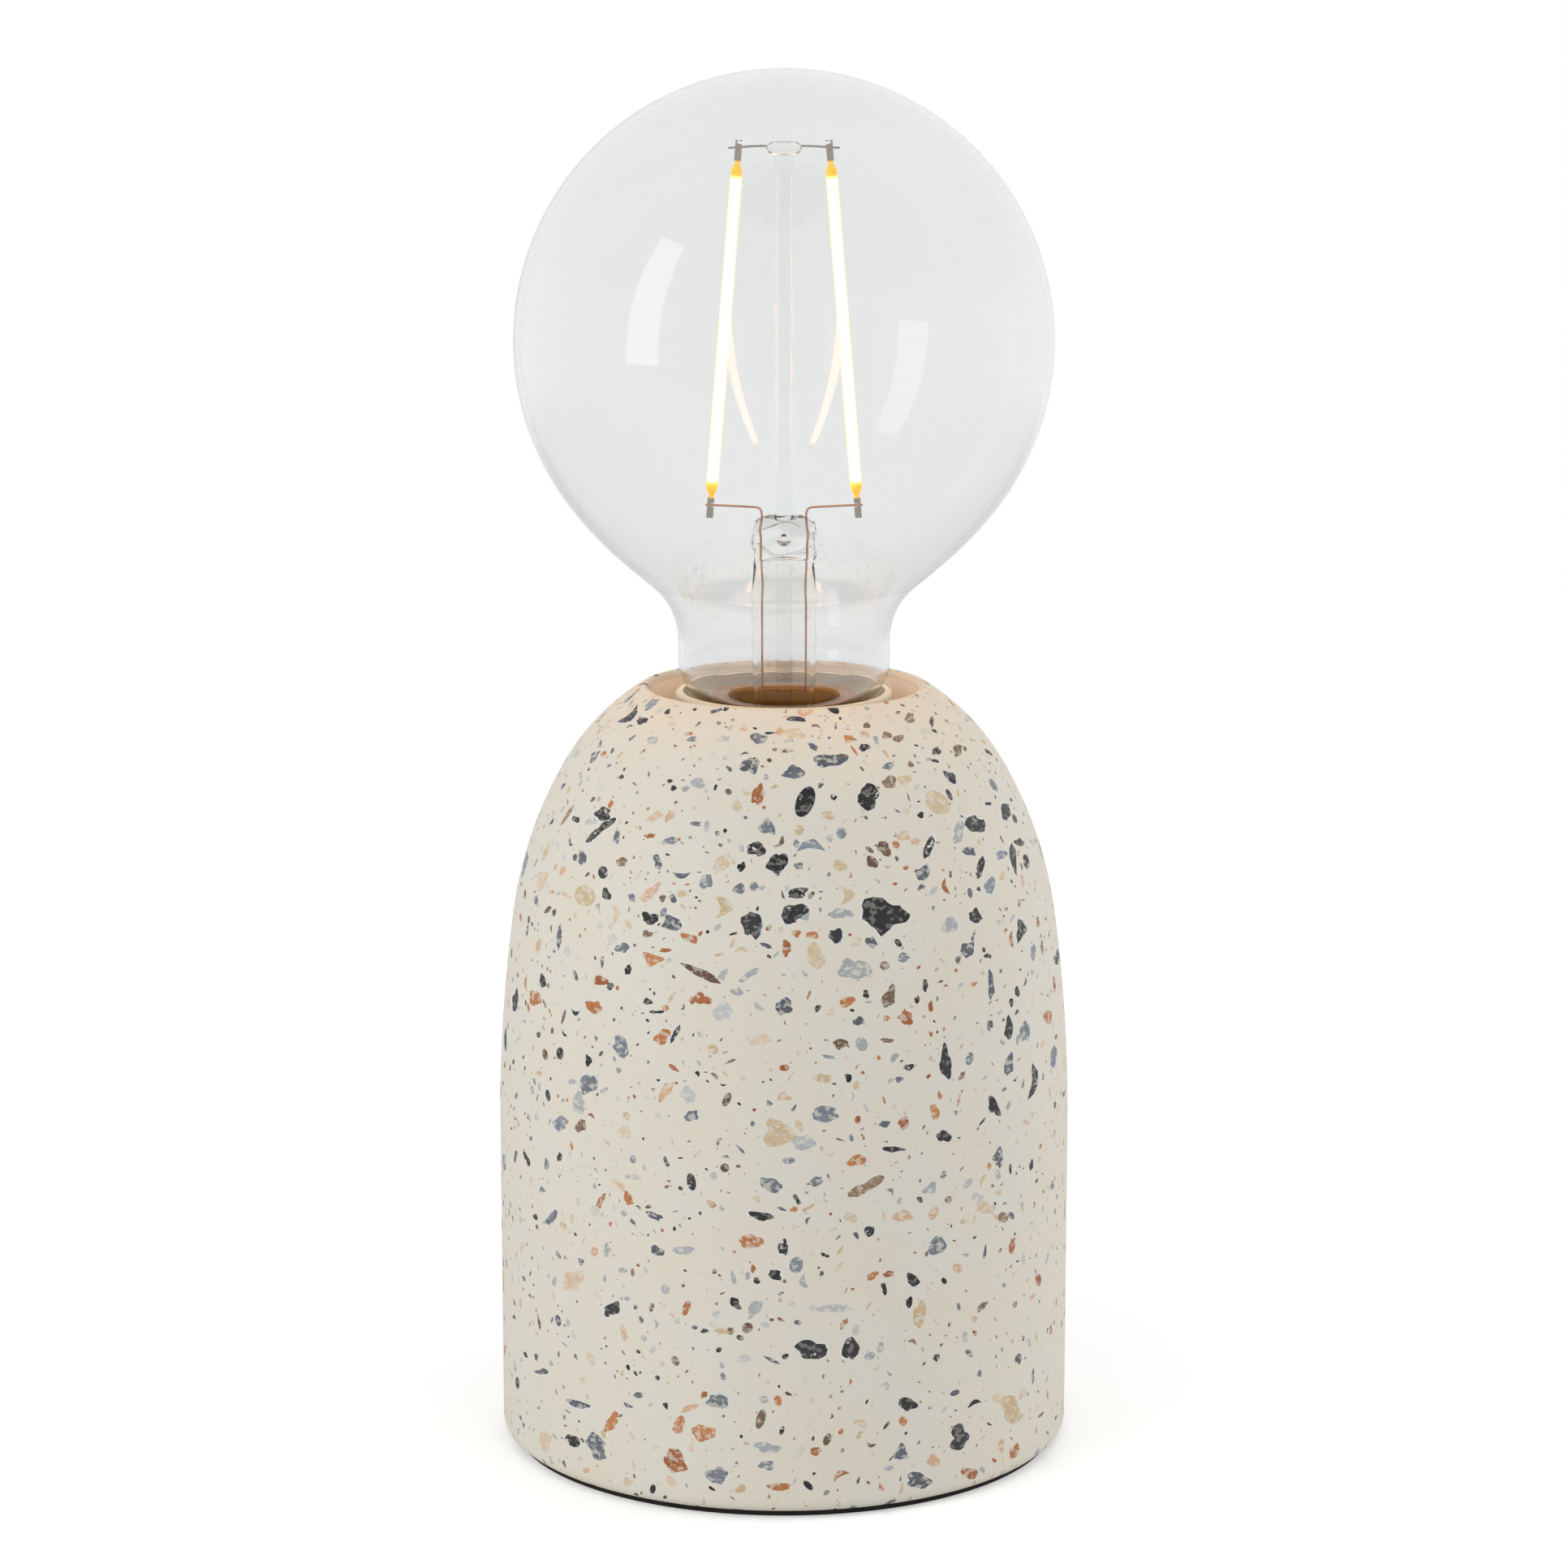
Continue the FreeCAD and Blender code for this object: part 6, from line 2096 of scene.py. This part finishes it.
    def build_stem(self) -> None:
        """Makes the flare tube that runs up into the pinched press."""
        skin = Skin()
        outer, inner = self.stem_rings()
        skin.wall(outer, 1)
        skin.wall(inner, -1)
        up, count = Vector((0, 0, 1)), self.ring_points
        skin.face(outer[-1], [up] * count)
        skin.face(list(reversed(inner[-1])), [-up] * count)
        for i in range(count):
            j = (i + 1) % count
            skin.face([inner[0][i], inner[0][j], outer[0][j], outer[0][i]], [-up] * 4)
        skin.turn(self.blow_hole(), 24)
        stands_for(skin.piece("stem", STEM_GLASS), "stem_flare", "bulb")

    def build_folds(self) -> None:
        """Makes the folds that the pinch left in the press, round its blown hole."""
        ways = []
        for drop, across, sag in self.folds:
            way = []
            for share in (-1, -0.6, -0.3, 0, 0.3, 0.6, 1):
                depth = self.fold_depth - self.fold_bow * abs(share)
                high = self.hole_high - drop - sag * (1 - share**2)
                high += self.fold_wave * math.sin(5 * share)
                way.append(Vector((across * share, depth, high)))
            ways.append(way)
        set_on(swept("press_folds", ways, self.fold_radius, STEM_GLASS), "bulb")

    def build_exhaust(self) -> None:
        """Makes the exhaust tube inside the flare."""
        foot, radius = self.exhaust_bottom, self.exhaust_radius
        exhaust = Outline(0.0, foot)
        exhaust.line(radius * 0.5, foot)
        exhaust.arc(radius, foot + self.exhaust_tip, -self.exhaust_arc, 0.3)
        exhaust.line(radius, self.press_bottom, 8.0)
        exhaust.line(0.0, self.press_bottom)
        tube = Skin().turn(exhaust, 32).piece("exhaust", STEM_GLASS)
        stands_for(tube, "exhaust_tube", "bulb")

    def bell_at(self, share: float, bell: float) -> float:
        """The flare's radius over its bell, from its foot to the plain tube."""
        return self.flare_radius + (bell - self.flare_radius) * (1 - share) ** 2.2

    def blow_hole(self) -> Outline:
        """The hollow that was blown through the press, as the skin of a small bubble."""
        bubble = Outline(0.0, self.hole_high + self.hole_half)
        bubble.arc(self.hole_radius, self.hole_high, self.hole_arc, 0.25)
        return bubble.arc(0.0, self.hole_high - self.hole_half, self.hole_arc, 0.25)

    def build_wires(self) -> None:
        """Makes the copper lead-in wires and the bright top wire."""

        def both_sides(ways: Sequence[tuple[float, float]]) -> list[list[Vector]]:
            """The same way on the left and on the right."""
            return [[Vector((x * side, 0, z)) for x, z in ways] for side in (-1, 1)]

        x, high, far = self.lead_side, self.lead_high, self.filament_foot_reach
        lead = [(x, self.lead_foot), (x, self.press_top - 7), (x, self.press_top - 1)]
        lead += [(x, high - 0.9), (x + 0.5, high - 0.1), (x + 2.2, high)]
        lead += [(far - 2, high + 0.25), (far + 1.0, high + 0.35)]
        leads = swept("lead_ins", both_sides(lead), self.wire_radius, COPPER)
        stands_for(leads, "lead_in_wires", "bulb")
        reach, high = self.filament_top_reach, self.hook_high
        hook = [(1.2, self.rod_top + 1.5), (3.1, self.rod_top + 1.6), (5.4, high + 0.2)]
        hook += [(reach, high), (reach + 1.6, high - 0.1)]
        hooks = swept("hooks", both_sides(hook), self.wire_radius, WIRE)
        stands_for(hooks, "top_anchor_wire", "bulb")

    def build_resin(self) -> None:
        """Makes the resin that holds the glass in its cap, squeezed out under the heel."""
        tail, low = self.tail_radius, self.cap_top - self.resin_depth
        high, bonded = self.cap_top + self.resin_gap, tail - self.bond
        resin = Outline(tail, low)
        resin.line(self.resin_radius, low)
        resin.line(self.resin_radius, high)
        resin.line(self.resin_reach, high)
        for step in range(7):
            radius = self.resin_reach + (bonded - self.resin_reach) * step / 6
            resin.line(radius, self.under_heel(radius) + self.bond)
        resin.line(bonded, low)
        resin.line(tail, low)
        piece = Skin().turn(resin, 96).piece("cap_resin_ring", RESIN)
        stands_for(piece, "cap_cement", "bulb")

    def under_heel(self, radius: float) -> float:
        """The height of the glass's underside at a radius, where the neck turns in to the tail."""
        middle = self.cap_top + self.heel_gap + self.heel_round
        across = max(0.0, radius - self.tail_radius)
        return middle - math.sqrt(self.heel_round**2 - across**2)

    def build_filament(self, side: int, name: str) -> None:
        """Makes one filament, upright, and leans it into place.

        Args:
            side: One for the right, minus one for the left.
            name: The solid's name.
        """
        foot = Vector((self.filament_foot_reach * side, 0, self.filament_foot))
        head = Vector((self.filament_top_reach * side, 0, self.filament_top))
        length, arc = (head - foot).length, self.tip_arc
        full = self.filament_radius
        tip, shoulder = full * self.tip_share, full * self.shoulder_share
        outline = Outline(0.0, 0.0)
        outline.line(tip, 0.0)
        outline.arc(shoulder, self.tip_run, arc, 0.3)
        outline.line(full, self.tip_run * 2, 0.5)
        outline.line(full, length - self.tip_run * 2, 1.5)
        outline.line(shoulder, length - self.tip_run, 0.5)
        outline.arc(tip, length, arc, 0.3)
        outline.line(0.0, length)
        skin = Skin().turn(outline, 24)
        core = Outline(0.0, self.core_end)
        core.line(self.core_radius, self.core_end)
        core.line(self.core_radius, length - self.core_end, 1.5)
        core.line(0.0, length - self.core_end)
        skin.turn(core, 16, 1)
        piece = skin.piece(name + "_lit", FILAMENT_COAT, FILAMENT_CORE)
        along = piece.data.attributes.new("along", "FLOAT", "POINT")
        along.data.foreach_set("value", [point.z / length for point in skin.points])
        lean = Vector((0, 0, 1)).rotation_difference(head - foot).to_matrix().to_4x4()
        piece.data.transform(Matrix.Translation(foot * MM) @ lean)
        stands_for(piece, name, "bulb")


def dress_solids() -> None:
    """Gives the solids that keep their own shape their finishes."""
    dress(FOOT_RUBBER, "base_pad")
    dress(BLACK_STEEL, "base_cover")
    dress(BLACK_NYLON, "cable_bushing", "bushing_nut")
    dress(ZINC, "cover_screws", "threaded_tube", "upper_washer", "lower_washer", "lock_washer")
    dress(ZINC, "holder_grub_screw", "clamp_screws", "terminal_block_screws", "block_fixing_screw")
    dress(BRASS, "cover_inserts", "tube_nut", "terminal_clamps", "contact_rivets")
    dress(BRASS, "socket_thread_shell", "terminal_block_tubes")
    dress(BRONZE, "side_contact", "centre_contact_foot", "centre_contact")
    dress(HOLDER_PAINT, "holder_cap", "holder_shell")
    dress(PORCELAIN, "holder_insert")
    dress(NICKEL, "cap_shell")
    dress(BLACK_GLASS, "cap_insulator")
    dress(SOLDER, "cap_tip_contact")
    dress(WIRE, "filament_tabs", "driver_wires")
    dress(BOARD, "driver_board")
    dress(BLACK_MOULDING, "driver_parts")
    dress(BROWN_SLEEVE, "live_lead")
    dress(BLUE_SLEEVE, "neutral_lead")
    dress(WHITE_NYLON, "terminal_block")


def main() -> None:
    """Builds the lamp's pieces and the studio round them."""
    logging.basicConfig(level=logging.INFO, format="%(name)s: %(message)s")
    view = Viewpoint()
    view.place()
    Studio().place()
    Dome().build(view)
    GlobeBulb().build()
    dress_solids()


if __name__ == "__main__":
    main()
